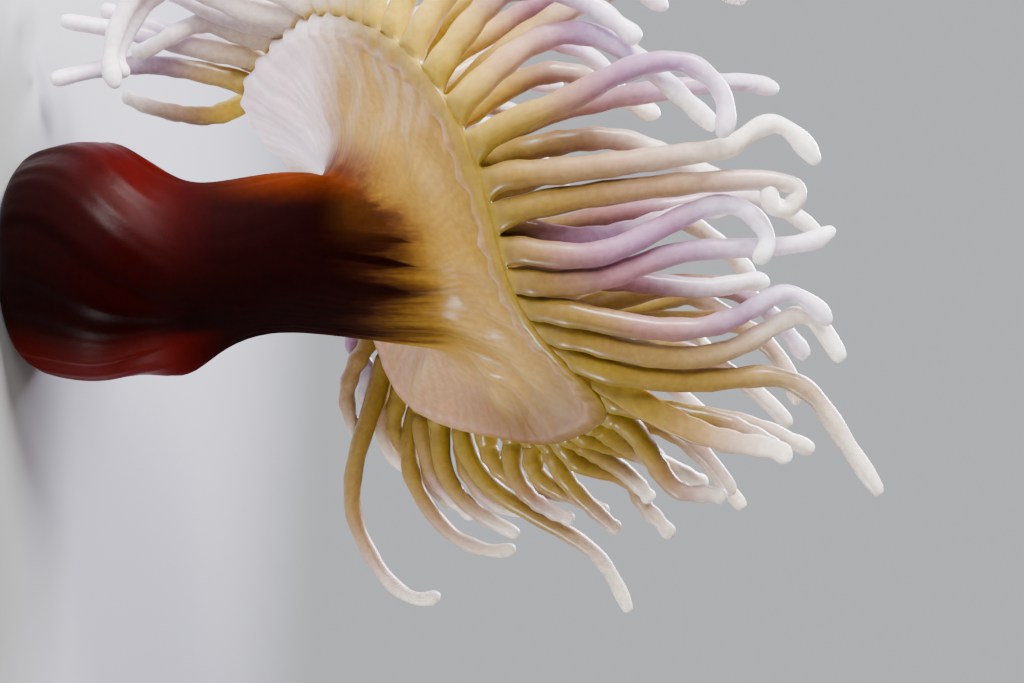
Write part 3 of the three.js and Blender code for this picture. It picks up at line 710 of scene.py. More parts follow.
    def crowding(
        self, flat: np.ndarray, thick: np.ndarray, pairs: tuple[np.ndarray, np.ndarray]
    ) -> np.ndarray:
        """Moves that part centreline points that are closer than the tentacles are thick.

        Args:
            flat: All centreline points.
            thick: The radius at each.
            pairs: The pairs of points that may be close.

        Returns:
            One move per point.
        """
        first, second = pairs
        gap = flat[first] - flat[second]
        distance = np.linalg.norm(gap, axis=-1) + 1e-9
        need = thick[first] + thick[second] + self.clearance
        place = np.arange(len(flat)) % (self.steps + 1)
        close = (distance < need) & ((place[first] > self.rooted) | (place[second] > self.rooted))
        first, second, gap = first[close], second[close], gap[close]
        distance, need = distance[close], need[close]
        fixed = (place[first] < self.rooted) | (place[second] < self.rooted)
        push = gap * (np.where(fixed, 1.0, 0.5) * (need - distance) / distance)[:, None]
        moves, count = np.zeros_like(flat), np.zeros(len(flat))
        for ends, sign in ((first, 1.0), (second, -1.0)):
            np.add.at(moves, ends, sign * push)
            np.add.at(count, ends, 1.0)
        return moves * self.part_push / np.maximum(count, 1.0)[:, None]

    def clear_disc(self, points: np.ndarray, radii: np.ndarray) -> None:
        """Move points out of the disc by the shortest way: over it, past its rim or under it.

        Args:
            points: Centreline points, changed in place.
            radii: Radius at each point.
        """
        across, along, normal = self.disc.axes()
        local = points - np.array(self.disc.centre)
        a, b, level = local @ across, local @ along, local @ normal
        out = np.hypot(a, b)
        azimuth = np.degrees(np.arctan2(b, a))
        rim = self.disc.rim(azimuth)[0]
        margin = radii + self.disc_clearance
        above = self.disc.oral(np.minimum(out, rim), azimuth) + margin - level
        past = rim + margin - out
        below = level - self.disc.underside(np.minimum(out, rim), azimuth) + margin
        inside = (above > 0) & (past > 0) & (below > 0)
        ways = np.stack([above, past, np.where(out > self.under_share * rim, below, np.inf)])
        way = np.argmin(ways, axis=0)[..., None]
        size = (self.disc_push * ways.min(axis=0) * inside)[..., None]
        outwards = (a / out)[..., None] * across + (b / out)[..., None] * along
        points += size * np.where(way == 0, normal, np.where(way == 1, outwards, -normal))

    def relax(self) -> None:
        """Keep the tentacles clear of each other, of the disc and of the floor."""
        laid = np.array([t.laid for t in self.tentacles])
        share = np.arange(self.steps + 1) / self.steps
        radii = np.array([self.radius(t.tier, share) for t in self.tentacles])
        owner = np.repeat(np.arange(len(laid)), self.steps + 1)
        points = laid.copy()
        for turn in range(self.rounds):
            flat = points.reshape(-1, 3)
            if turn % self.relist == 0:
                pairs = self.neighbours(flat, owner)
            points = points + self.crowding(flat, radii.reshape(-1), pairs).reshape(points.shape)
            self.clear_disc(points[:, self.rooted + 1 :], radii[:, self.rooted + 1 :])
            points[..., 2] = np.maximum(points[..., 2], radii + self.floor_clearance)
            moved = points - laid
            moved[:, : self.rooted] = 0.0
            even = moved.copy()
            even[:, 1:-1] = (moved[:, :-2] + 2.0 * moved[:, 1:-1] + moved[:, 2:]) / 4.0
            even[:, -1] = (moved[:, -2] + moved[:, -1]) / 2.0
            even[:, : self.rooted] = 0.0
            points = laid + ((1.0 - self.evening) * moved + self.evening * even) * self.fade
        for tentacle, path in zip(self.tentacles, points):
            tentacle.path = path


# ---------------------------------------------------------------- one skin


class Zone(Enum):
    """Stretches of the body's profile; a point's reach is its zone's number plus its share."""

    STALK = 0.0
    UNDERSIDE = 1.0
    ORAL = 2.0


@dataclass(frozen=True)
class Ring:
    """One ring of the cage.

    Attributes:
        zone: The stretch of the profile that it lies on.
        share: Its share of that stretch.
        out: Its share of the way from the axis to the skin, which is less than 1 on the sole.
    """

    zone: Zone
    share: float
    out: float = 1.0


SOLE_OUT = (0.0, 0.6, 0.95)
STALK_SHARES = (0.03, 0.09, 0.17, 0.25, 0.33, 0.4, 0.47, 0.56, 0.68, 0.8, 0.92)
UNDERSIDE_SHARES = (0.0, 0.09, 0.19, 0.3, 0.42, 0.55, 0.68, 0.8, 0.9, 0.97)
CROWN_SHARES = (0.0, 0.02, 0.09, 0.13, 0.21, 0.25, 0.33, 0.385, 0.455)
MOUTH_SHARES = (0.57, 0.69, 0.8, 0.88, 0.94, 1.0)

RINGS = (
    [Ring(Zone.STALK, 0.0, out) for out in SOLE_OUT]
    + [Ring(Zone.STALK, share) for share in STALK_SHARES]
    + [Ring(Zone.UNDERSIDE, share) for share in UNDERSIDE_SHARES]
    + [Ring(Zone.ORAL, share) for share in CROWN_SHARES + MOUTH_SHARES]
)


@dataclass(frozen=True)
class Section:
    """Cross-section of a tentacle in the cage.

    Attributes:
        centre: Its middle.
        side: Its first axis.
        other: Its second axis.
        radius: Its radius in the cage.
        share: Its share of the tentacle's length.
    """

    centre: np.ndarray
    side: np.ndarray
    other: np.ndarray
    radius: float
    share: float


@dataclass
class Cage:
    """Coarse mesh that the skin is subdivided from.

    Attributes:
        disc: The disc.
        stalk: The foot and column.
        crown: The tentacles.
        fullness: Radius of the finished skin over that of the cage, round a tentacle.
        straight: Rings of a straight tentacle.
        bend_per_ring: Degrees of bend that ask for one more ring.
        least: Fewest rings.
        most: Most rings.
        step_weight: Degrees of bend that weigh as much as one step when rings are spaced.
        first_ring: Where the first ring goes, as a share of the weighed length.
        tip_length: Distance between the last two rings.
        tip_room: Steps that are kept clear before the last two rings.
        tip_size: Size of the last ring.
        tip_pull: How far the last ring is drawn back.
        lift: Share of the bow between rings that is made up for.
        stagger_from: Inset at which the disc's rings start to turn by half a face.
        stagger_over: Inset over which they do it.
        weld: Distance within which vertices of the seam, the sole and the mouth are one.
        colour_seed: Start of the random numbers for tints and tones.
        mesh: The mesh.
    """

    disc: Disc
    stalk: Stalk
    crown: Crown
    fullness: float = 0.655
    straight: float = 5.0
    bend_per_ring: float = 38.0
    least: int = 6
    most: int = 13
    step_weight: float = 6.0
    first_ring: float = 0.06
    tip_length: float = 2.6
    tip_room: float = 0.6
    tip_size: float = 0.5
    tip_pull: float = 0.1
    lift: float = 1.0 / 3.0
    stagger_from: float = 0.09
    stagger_over: float = 0.04
    weld: float = 1e-4
    colour_seed: int = 977
    mesh: bmesh.types.BMesh = field(default_factory=bmesh.new)

    def profile(self, ring: Ring, azimuth: np.ndarray) -> np.ndarray:
        """Points of one ring of the body, one row per azimuth.

        Args:
            ring: The ring.
            azimuth: Azimuths in degrees.

        Returns:
            The points in millimetres.
        """
        if ring.zone is Zone.STALK:
            height = ring.share * self.stalk.collar_height
            return self.stalk.point(self.disc, ring.out, azimuth, height)
        if ring.zone is Zone.UNDERSIDE:
            return self.disc.underside_point(ring.share, azimuth)
        return self.disc.oral_point(ring.share, azimuth)

    def stagger(self, ring: Ring) -> float:
        """Turn of a ring, which puts the faces of the inner tiers under their tentacles.

        Args:
            ring: The ring.

        Returns:
            The turn in degrees.
        """
        if ring.zone is not Zone.ORAL:
            return 0.0
        return SLOT / 2.0 * float(smooth((ring.share - self.stagger_from) / self.stagger_over))

    def wrap(self) -> None:
        """Bend a flat grid round the body, and weld its seam, sole and mouth."""
        last = len(RINGS) - 1
        bmesh.ops.create_grid(self.mesh, x_segments=COLUMNS, y_segments=last, size=1.0)
        reach = self.mesh.verts.layers.float.new("reach")
        place = self.mesh.faces.layers.int.new("place")
        for face in self.mesh.faces:
            middle = face.calc_center_median()
            column = int((middle.x + 1.0) / 2.0 * COLUMNS)
            face[place] = int((middle.y + 1.0) / 2.0 * last) * COLUMNS + column
        rings: dict[int, list[bmesh.types.BMVert]] = {}
        for vert in self.mesh.verts:
            rings.setdefault(round((vert.co.y + 1.0) / 2.0 * last), []).append(vert)
        for index, verts in rings.items():
            ring = RINGS[index]
            columns = np.array([round((v.co.x + 1.0) / 2.0 * COLUMNS) % COLUMNS for v in verts])
            points = self.profile(ring, columns * SLOT + self.stagger(ring))
            for vert, point in zip(verts, points):
                vert.co = point
                vert[reach] = ring.zone.value + ring.share
        bmesh.ops.remove_doubles(self.mesh, verts=self.mesh.verts[:], dist=self.weld)

    def stations(self, path: np.ndarray) -> np.ndarray:
        """Places along a centreline where its rings go, closer where it bends.

        Args:
            path: The centreline.

        Returns:
            Places counted in steps of the centreline, root excluded.
        """
        course = unit(np.diff(path, axis=0))
        turn = np.degrees(np.arccos(np.clip((course[1:] * course[:-1]).sum(1), -1.0, 1.0)))
        weights = self.step_weight + np.concatenate([[0.0], turn])
        measure = np.concatenate([[0.0], np.cumsum(weights)])
        rings = round(self.straight + turn.sum() / self.bend_per_ring)
        rings = int(np.clip(rings, self.least, self.most))
        targets = np.linspace(self.first_ring, 1.0, rings) * measure[-1]
        places = np.interp(targets, measure, np.arange(len(measure)))
        step = float(np.linalg.norm(np.diff(path, axis=0), axis=1).mean())
        last = self.crown.steps - self.tip_length / step
        return np.concatenate([places[places < last - self.tip_room], [last, float(self.crown.steps)]])

    def sections(self, tentacle: Tentacle) -> list[Section]:
        """Cross-sections of a tentacle in the cage.

        Args:
            tentacle: The tentacle.

        Returns:
            The sections, from the first above the root to the tip.
        """
        path = tentacle.path
        steps = np.arange(self.crown.steps + 1)
        places = self.stations(path)
        centres = np.stack([np.interp(places, steps, path[:, k]) for k in range(3)], axis=-1)
        full = np.vstack([path[0], centres])
        lifted = centres.copy()
        lifted[:-1] += (centres[:-1] - (full[:-2] + full[2:]) / 2.0) * self.lift
        course = unit(np.gradient(full, axis=0))[1:]
        side = self.disc.outwards(tentacle.azimuth)
        result = []
        for place, centre, heading in zip(places, lifted, course):
            side = unit(side - side.dot(heading) * heading)
            share = place / self.crown.steps
            radius = float(self.crown.radius(tentacle.tier, share)) / self.fullness
            if place == places[-1]:
                radius *= self.tip_size
                centre = centre - heading * self.tip_pull
            result.append(Section(centre, side, np.cross(heading, side), radius, share))
        return result

    def root_face(self, tentacle: Tentacle) -> int:
        """Find the face that a tentacle grows out of.

        Args:
            tentacle: The tentacle.

        Returns:
            The face's place number.
        """
        inset = TIERS[tentacle.tier].inset
        ring = max(i for i, r in enumerate(RINGS) if r.zone is Zone.ORAL and r.share < inset)
        turned = RINGS[ring].share > self.stagger_from
        column = round(tentacle.azimuth / SLOT - (1.0 if turned else 0.5)) % COLUMNS
        return ring * COLUMNS + column

    def grow(self) -> None:
        """Grow every tentacle out of its own face of the disc, section by section."""
        place = self.mesh.faces.layers.int["place"]
        layers = self.mesh.verts.layers.float
        limb, tint, tone = (layers.new(name) for name in ("limb", "tint", "tone"))
        reach = layers["reach"]
        for vert in self.mesh.verts:
            vert[tint] = 0.5
            vert[tone] = 0.5
        random = Seeded(self.colour_seed)
        faces = {face[place]: face for face in self.mesh.faces}
        for tentacle in self.crown.tentacles:
            face = faces[self.root_face(tentacle)]
            root_reach = sum(v[reach] for v in face.verts) / len(face.verts)
            own_tint, own_tone = random.next(), random.next()
            side = self.disc.outwards(tentacle.azimuth)
            other = np.cross(self.disc.normal(), side)
            centre = np.array(face.calc_center_median())
            for section in self.sections(tentacle):
                offsets = [np.array(vert.co) - centre for vert in face.verts]
                made = bmesh.ops.extrude_discrete_faces(self.mesh, faces=[face])
                face = made["faces"][0]
                for vert, offset in zip(face.verts, offsets):
                    corner = math.copysign(1.0, offset.dot(side)) * section.side
                    corner = corner + math.copysign(1.0, offset.dot(other)) * section.other
                    vert.co = section.centre + section.radius * corner / math.sqrt(2.0)
                    vert[limb] = section.share
                    vert[tint] = own_tint
                    vert[tone] = own_tone
                    vert[reach] = root_reach
                side, other, centre = section.side, section.other, section.centre


# ---------------------------------------------------------------- relief


@dataclass(frozen=True)
class Ridge:
    """One separate ridge of the underside.

    Attributes:
        reach: Where along the profile its middle is.
        azimuth: Where round the body its middle is, in degrees.
        span: Half its length along the profile.
        width: Half its width in degrees.
        rise: Its height.
    """

    reach: float
    azimuth: float
    span: float
    width: float
    rise: float


@dataclass(frozen=True)
class Stretch:
    """Stretch of the profile, with soft ends.

    Attributes:
        start: Reach at which it starts.
        rise: How much further it is whole.
        end: Reach at which it ends.
        fall: How much before that it starts to fade.
    """

    start: float
    rise: float
    end: float
    fall: float

    def share(self, reach: np.ndarray) -> np.ndarray:
        """1 on the stretch and 0 off it."""
        return smooth((reach - self.start) / self.rise) * smooth((self.end - reach) / self.fall)


@dataclass(frozen=True)
class Side:
    """Side of the body: a middle azimuth and a half width, both in degrees."""

    azimuth: float
    width: float

    def share(self, azimuth: np.ndarray) -> np.ndarray:
        """1 in the middle of the side, fading to 0."""
        return bell(turn_between(azimuth, self.azimuth) / self.width)


@dataclass(frozen=True)
class Band:
    """Narrow band round the profile: the reach of its middle, half its width and its height."""

    reach: float
    width: float
    rise: float

    def height(self, reach: np.ndarray) -> np.ndarray:
        """Height of the band at each reach."""
        return self.rise * bell((reach - self.reach) / self.width)


# Uneven waves round the body: for each wave its count, its phase in degrees and its weight
Waves = tuple[tuple[float, float, float], ...]


def rippled(azimuth: np.ndarray, waves: Waves) -> np.ndarray:
    """Sum of waves at each azimuth."""
    return sum(weight * np.cos(np.radians(count * azimuth + phase)) for count, phase, weight in waves)


@dataclass(frozen=True)
class Relief:
    """Folds and furrows of the skin, in millimetres along its normal.

    Places along the profile are given as reach: 0 to 1 on the stalk, 1 to 2 on the underside of
    the disc and 2 to 3 on its mouth side.
    """

    deepest: float = 0.8

    # furrows down the column
    column: Stretch = Stretch(0.5, 0.25, 1.2, 0.3)
    furrow_depth: float = 0.5
    furrow_floor: float = -0.15
    furrow_waves: Waves = ((31, 20, 0.5), (19, 200, 0.35), (43, 75, 0.3))

    # wrinkles of the foot, which snake by a few degrees on their way up
    foot: Stretch = Stretch(0.0, 0.06, 0.52, 0.2)
    wrinkle_height: float = 0.5
    wrinkle_snake: tuple[float, float] = (4.0, 14.0)
    wrinkle_waves: Waves = ((9, 30, 0.5), (14, 100, 0.4), (23, 10, 0.3), (37, 60, 0.2))

    # the fine raised line below the margin, with a groove on either side
    parapet_side: Side = Side(272.0, 62.0)
    parapet_least: float = 0.06
    parapet_height: float = 1.35
    parapet_bands: tuple[Band, ...] = (
        Band(1.93, 0.015, 1.0),
        Band(1.88, 0.02, -0.55),
        Band(1.985, 0.02, -0.3),
    )
    parapet_waves: Waves = ((48, 0, 0.3), (24, 0, 0.15), (17, 40, 0.2))

    # ribs and frills of the margin, strongest on the flap at the disc's raised end
    raised: Side = Side(176.0, 48.0)
    ribbed: Stretch = Stretch(1.55, 0.4, 2.0, 0.06)
    rib_height: float = 0.28
    raised_ribs: float = 0.55
    rib_waves: Waves = ((48, 22.5, 0.8), (24, 90, 0.4))
    fringe: Band = Band(2.0, 0.12, 1.1)
    fringe_count: float = 48.0
    fringe_floor: float = -0.3

    # soft folds of the underside, with one crease beside a welt
    folded: Stretch = Stretch(1.2, 0.3, 1.98, 0.15)
    raised_folds: float = 0.6
    fold_floor: float = -0.45
    fold_snake: tuple[float, float] = (12.0, 5.0)
    fold_waves: Waves = ((7, 50, 0.6), (11, 120, 0.5), (16, 10, 0.35))
    crease: Side = Side(337.0, 3.2)
    crease_depth: float = 1.3
    welt: Side = Side(344.0, 4.5)
    welt_height: float = 0.8

    # separate ridges, which lean round the body on their way out
    ridge_lean: float = 22.0
    ridges: tuple[Ridge, ...] = (
        Ridge(1.35, 318.0, 0.22, 9.0, 1.8),
        Ridge(1.52, 300.0, 0.2, 7.0, 1.6),
        Ridge(1.62, 328.0, 0.22, 6.0, 1.5),
        Ridge(1.45, 280.0, 0.25, 6.0, 1.2),
        Ridge(1.6, 262.0, 0.22, 6.0, 1.2),
        Ridge(1.5, 244.0, 0.25, 7.0, 1.2),
        Ridge(1.55, 224.0, 0.25, 7.0, 1.3),
        Ridge(1.6, 204.0, 0.25, 6.0, 1.6),
        Ridge(1.62, 190.0, 0.25, 5.0, 1.6),
        Ridge(1.6, 176.0, 0.25, 5.0, 1.6),
        Ridge(1.6, 160.0, 0.25, 6.0, 1.4),
        Ridge(1.65, 42.0, 0.22, 6.0, 3.4),
        Ridge(1.45, 20.0, 0.14, 7.0, 3.0),
        Ridge(1.64, 2.0, 0.16, 7.0, 3.2),
        Ridge(1.4, 345.0, 0.16, 6.0, 2.2),
    )

    # lumps of a tentacle: for each wave its count, how the tint changes it, its phase and weight
    lump: float = 0.16
    lump_start: float = 0.1
    lump_waves: tuple[tuple[float, float, float, float], ...] = (
        (34.0, 22.0, 40.0, 1.0),
        (61.0, -17.0, 17.0, 0.7),
    )
    tip_swelling: Band = Band(0.955, 0.04, 0.22)

    def crests(self, reach: np.ndarray, azimuth: np.ndarray) -> np.ndarray:
        """Height of the separate ridges alone.

        Args:
            reach: Reach of each vertex.
            azimuth: Azimuth of each vertex.

        Returns:
            The height at each.
        """
        height = 0.0 * reach
        for ridge in self.ridges:
            off = reach - ridge.reach
            turn = turn_between(azimuth - self.ridge_lean * off, ridge.azimuth)
            height += ridge.rise * bell(off / ridge.span) * bell(turn / ridge.width)
        return height

    def stalk(self, reach: np.ndarray, azimuth: np.ndarray) -> np.ndarray:
        """Height of the column's furrows and the foot's wrinkles.

        Args:
            reach: Reach of each vertex.
            azimuth: Azimuth of each vertex.

        Returns:
            The height at each.
        """
        furrows = np.maximum(rippled(azimuth, self.furrow_waves), self.furrow_floor)
        swing, pace = self.wrinkle_snake
        wrinkles = rippled(azimuth + swing * np.sin(reach * pace), self.wrinkle_waves)
        foot = self.foot.share(reach) * self.wrinkle_height * wrinkles
        return foot - self.furrow_depth * self.column.share(reach) * furrows

    def margin(self, reach: np.ndarray, azimuth: np.ndarray) -> np.ndarray:
        """Height of the parapet, the ribs and the fringe near the margin.

        Args:
            reach: Reach of each vertex.
            azimuth: Azimuth of each vertex.

        Returns:
            The height at each.
        """
        raised = self.raised.share(azimuth)
        bands = sum(band.height(reach) for band in self.parapet_bands)
        side = self.parapet_least + (1.0 - self.parapet_least) * self.parapet_side.share(azimuth)
        parapet = self.parapet_height * side * bands * (1.0 + rippled(azimuth, self.parapet_waves))
        depth = self.rib_height + self.raised_ribs * raised
        ribs = self.ribbed.share(reach) * depth * rippled(azimuth, self.rib_waves)
        frills = np.maximum(np.cos(np.radians(self.fringe_count * azimuth)), self.fringe_floor)
        return parapet + ribs + self.fringe.height(reach) * raised * frills

    def underside(self, reach: np.ndarray, azimuth: np.ndarray) -> np.ndarray:
        """Height of the underside's folds, crease and welt.

        Args:
            reach: Reach of each vertex.
            azimuth: Azimuth of each vertex.

        Returns:
            The height at each.
        """
        swing, pace = self.fold_snake
        waves = rippled(azimuth + swing * np.sin(reach * pace), self.fold_waves)
        depth = 1.0 + self.raised_folds * self.raised.share(azimuth)
        folds = depth * np.maximum(waves, self.fold_floor)
        crease = self.crease_depth * self.crease.share(azimuth)
        welt = self.welt_height * self.welt.share(azimuth)
        return self.folded.share(reach) * (folds - crease + welt)

    def heights(self, reach: np.ndarray, azimuth: np.ndarray, body: np.ndarray) -> np.ndarray:
        """Relief of the body.

        Args:
            reach: Reach of each vertex along the profile.
            azimuth: Azimuth of each vertex.
            body: 1 on the body and 0 on a tentacle.

        Returns:
            How far each vertex stands out.
        """
        height = self.stalk(reach, azimuth) + self.margin(reach, azimuth)
        height += self.underside(reach, azimuth) + self.crests(reach, azimuth)
        return np.maximum(height, -self.deepest) * body

    def lumps(self, limb: np.ndarray, tint: np.ndarray) -> np.ndarray:
        """Relief of the tentacles.

        Args:
            limb: Share of the tentacle's length at each vertex.
            tint: Random number of the tentacle.

        Returns:
            How far each vertex stands out.
        """
        waves = 0.0 * limb
        for count, change, phase, weight in self.lump_waves:
            waves += weight * np.sin(limb * (count + change * tint) + phase * tint)
        return self.lump * waves * smooth(limb / self.lump_start) + self.tip_swelling.height(limb)


@dataclass
class Skin:
    """The whole flesh of the animal as one closed piece.

    Attributes:
        cage: The coarse mesh.
        relief: The folds.
        subdivisions: How often the coarse mesh is subdivided.
        root_blend: Share of a tentacle's length over which the body's relief fades.
        sole_height: Height below which the sole stays flat.
        crest_full: Height of a ridge at which its crest is fully marked.
    """

    cage: Cage
    relief: Relief
    subdivisions: int = 2
    root_blend: float = 0.08
    sole_height: float = 0.4
    crest_full: float = 3.0

    def subdivided(self) -> bpy.types.Object:
        """Smooth the cage into a fine mesh.

        Returns:
            A new object, in millimetres.
        """
        coarse = bpy.data.meshes.new("flesh_cage")
        self.cage.mesh.to_mesh(coarse)
        self.cage.mesh.free()
        holder = bpy.data.objects.new("flesh_cage", coarse)
        bpy.context.scene.collection.objects.link(holder)
        finer = holder.modifiers.new("smooth", "SUBSURF")
        finer.levels = finer.render_levels = self.subdivisions
        graph = bpy.context.evaluated_depsgraph_get()
        mesh = bpy.data.meshes.new_from_object(holder.evaluated_get(graph))
        bpy.data.objects.remove(holder)
        bpy.data.meshes.remove(coarse)
        mesh.name = "anemone_flesh"
        flesh = bpy.data.objects.new("anemone_flesh", mesh)
        bpy.context.scene.collection.objects.link(flesh)
        return flesh

    def read(self, mesh: bpy.types.Mesh, name: str) -> np.ndarray:
        """Read one of the mesh's vertex attributes.

        Args:
            mesh: The mesh.
            name: The attribute's name.

        Returns:
            One value per vertex.
        """
        values = np.zeros(len(mesh.vertices))
        mesh.attributes[name].data.foreach_get("value", values)
        return values

    def azimuths(self, points: np.ndarray, reach: np.ndarray) -> np.ndarray:
        """Azimuth of each point, round the stalk's axis low down and round the disc's higher up.

        Args:
            points: The points.
            reach: Their reach.

        Returns:
            Azimuths in degrees.
        """
        across, along, _ = self.cage.disc.axes()
        local = points - np.array(self.cage.disc.centre)
        mix = smooth(reach)
        a = (1.0 - mix) * points[:, 0] + mix * (local @ across)
        b = (1.0 - mix) * points[:, 1] + mix * (local @ along)
        return np.degrees(np.arctan2(b, a))

    def build(self) -> bpy.types.Object:
        """Make the skin.

        Returns:
            The finished piece, in metres.
        """
        self.cage.wrap()
        self.cage.grow()
        flesh = self.subdivided()
        mesh = flesh.data
        points = np.zeros(len(mesh.vertices) * 3)
        mesh.vertices.foreach_get("co", points)
        points = points.reshape(-1, 3)
        normals = np.zeros(len(mesh.vertices) * 3)
        mesh.vertex_normals.foreach_get("vector", normals)
        reach, limb, tint = (self.read(mesh, name) for name in ("reach", "limb", "tint"))
        azimuth = self.azimuths(points, reach)
        body = 1.0 - smooth(limb / self.root_blend)
        height = self.relief.heights(reach, azimuth, body) + self.relief.lumps(limb, tint)
        height[points[:, 2] < self.sole_height] = 0.0
        points = points + normals.reshape(-1, 3) * height[:, None]
        # a few tips of tentacles would stand up to 0.7 mm past the CAD's box, and are flattened to it
        points = np.clip(points, np.array(cad_box[0]) / MM, np.array(cad_box[1]) / MM)
        mesh.vertices.foreach_set("co", (points * MM).reshape(-1))
        # the crests get a painted highlight in the finish
        crests = self.relief.crests(reach, azimuth) * body / self.crest_full
        crest = mesh.attributes.new("crest", "FLOAT", "POINT")
        crest.data.foreach_set("value", np.clip(crests, 0.0, 1.0))
        angle = np.radians(azimuth)
        spokes = np.stack([np.cos(angle), np.sin(angle), 0.0 * angle], axis=-1)
        spoke = mesh.attributes.new("spoke", "FLOAT_VECTOR", "POINT")
        spoke.data.foreach_set("vector", spokes.reshape(-1))
        mesh.update()
        mesh.polygons.foreach_set("use_smooth", np.ones(len(mesh.polygons), dtype=bool))
        log.info("flesh: %d faces", len(mesh.polygons))
        return flesh


# ---------------------------------------------------------------- finish


# Where a soft edge starts and where it is whole; a span whose name ends in "end" fades instead
Span = tuple[float, float]
# Weights of an azimuth's cosine and sine, for the way that something faces
Way = tuple[float, float]
Colour = tuple[float, float, float, float]
Stops = tuple[tuple[float, Colour], ...]


def srgb(red: int, green: int, blue: int) -> Colour:
    """Turn a colour as seen on a screen into light.

    Args:
        red: Red from 0 to 255.
        green: Green from 0 to 255.
        blue: Blue from 0 to 255.

    Returns:
        The colour's light, with an alpha of 1.
    """

    def light(value: int) -> float:
        """One channel."""
        c = value / 255.0
        return c / 12.92 if c <= 0.04045 else ((c + 0.055) / 1.055) ** 2.4

    return light(red), light(green), light(blue), 1.0


BLACK = srgb(0, 0, 0)
WHITE = srgb(255, 255, 255)


class Amount:
    """A number socket that Python's own operators build Math nodes from."""

    def __init__(self, sheet: "Sheet", socket: bpy.types.NodeSocket) -> None:
        """Wrap a socket of a sheet."""
        self.sheet = sheet
        self.socket = socket

    def _math(self, operation: str, *values: object) -> "Amount":
        """Add one Math node."""
        made = self.sheet.node("ShaderNodeMath", {"operation": operation}, dict(enumerate(values)))
        return Amount(self.sheet, made.outputs[0])

    def __add__(self, other: object) -> "Amount":
        """Sum."""
        return self._math("ADD", self, other)

    def __radd__(self, other: object) -> "Amount":
        """Sum, reflected."""
        return self._math("ADD", other, self)

    def __sub__(self, other: object) -> "Amount":
        """Difference."""
        return self._math("SUBTRACT", self, other)

    def __rsub__(self, other: object) -> "Amount":
        """Difference, reflected."""
        return self._math("SUBTRACT", other, self)

    def __mul__(self, other: object) -> "Amount":
        """Product."""
        return self._math("MULTIPLY", self, other)

    def __rmul__(self, other: object) -> "Amount":
        """Product, reflected."""
        return self._math("MULTIPLY", other, self)

    def __truediv__(self, other: object) -> "Amount":
        """Quotient."""
        return self._math("DIVIDE", self, other)

    def __rtruediv__(self, other: object) -> "Amount":
        """Quotient, reflected."""
        return self._math("DIVIDE", other, self)

    def __neg__(self) -> "Amount":
        """The same amount below zero."""
        return self._math("SUBTRACT", 0.0, self)

    def size(self) -> "Amount":
        """Size without its sign."""
        return self._math("ABSOLUTE", self)

    def sine(self) -> "Amount":
        """Sine."""
        return self._math("SINE", self)

    def angle(self, other: object) -> "Amount":
        """Angle of the vector (other, self)."""
        return self._math("ARCTAN2", self, other)

    def ramped(self, low: float, high: float) -> "Amount":
        """Ease from 0 to 1.

        Args:
            low: Where it is still 0.
            high: Where it is 1.

        Returns:
            The eased amount.
        """
        made = self.sheet.node(
            "ShaderNodeMapRange",
            {"interpolation_type": "SMOOTHSTEP"},
            {"Value": self, "From Min": low, "From Max": high, "To Min": 0.0, "To Max": 1.0},
        )
        return Amount(self.sheet, made.outputs[0])


@dataclass(frozen=True)
class Grain:
    """Grain of a noise: its scale per metre, its detail and its roughness."""

    scale: float
    detail: float = 2.0
    rough: float = 0.5


@dataclass
class Sheet:
    """Node tree of a material or of the surroundings."""

    tree: bpy.types.NodeTree

    def __post_init__(self) -> None:
        """Start from an empty tree."""
        self.tree.nodes.clear()

    def node(self, kind: str, settings: dict, inputs: dict) -> bpy.types.Node:
        """Add a node.

        Args:
            kind: The node's type.
            settings: Its own settings, set first; "stops" are a ramp's places and colours.
            inputs: Values or links by socket name or number.

        Returns:
            The node.
        """
        made = self.tree.nodes.new(kind)
        for name, value in settings.items():
            if name == "stops":
                elements = made.color_ramp.elements
                while len(elements) > 1:
                    elements.remove(elements[-1])
                for index, (place, colour) in enumerate(value):
                    element = elements[0] if index == 0 else elements.new(place)
                    element.position = place
                    element.color = colour
            else:
                setattr(made, name, value)
        for name, value in inputs.items():
            socket = made.inputs[name]
            if isinstance(value, Amount):
                value = value.socket
            if isinstance(value, bpy.types.NodeSocket):
                self.tree.links.new(value, socket)
            else:
                socket.default_value = value
        return made

    def place(self) -> bpy.types.NodeSocket:
        """Object coordinates, in metres."""
        return self.node("ShaderNodeTexCoord", {}, {}).outputs["Object"]

    def amount(self, name: str) -> Amount:
        """A number attribute of the mesh."""
        return Amount(self, self.node("ShaderNodeAttribute", {"attribute_name": name}, {}).outputs["Fac"])

    def split(self, vector: bpy.types.NodeSocket) -> tuple[Amount, Amount, Amount]:
        """The three parts of a vector."""
        parts = self.node("ShaderNodeSeparateXYZ", {}, {0: vector}).outputs
        return Amount(self, parts[0]), Amount(self, parts[1]), Amount(self, parts[2])

    def ramp(self, factor: Amount, stops: Stops) -> bpy.types.NodeSocket:
        """Colour from a factor."""
        return self.node("ShaderNodeValToRGB", {"stops": stops}, {"Fac": factor}).outputs["Color"]

    def mix(self, factor: object, first: object, second: object, kind: str = "MIX") -> bpy.types.NodeSocket:
        """Mix two colours.

        Args:
            factor: Share of the second.
            first: First colour or link.
            second: Second colour or link.
            kind: How they blend.

        Returns:
            The mixed colour's socket.
        """
        settings = {"data_type": "RGBA", "blend_type": kind}
        return self.node("ShaderNodeMix", settings, {0: factor, 6: first, 7: second}).outputs[2]

    def noise(self, vector: bpy.types.NodeSocket, grain: Grain) -> Amount:
        """Noise from 0 to 1."""
        inputs = {"Vector": vector, "Scale": grain.scale, "Detail": grain.detail, "Roughness": grain.rough}
        return Amount(self, self.node("ShaderNodeTexNoise", {}, inputs).outputs[0])


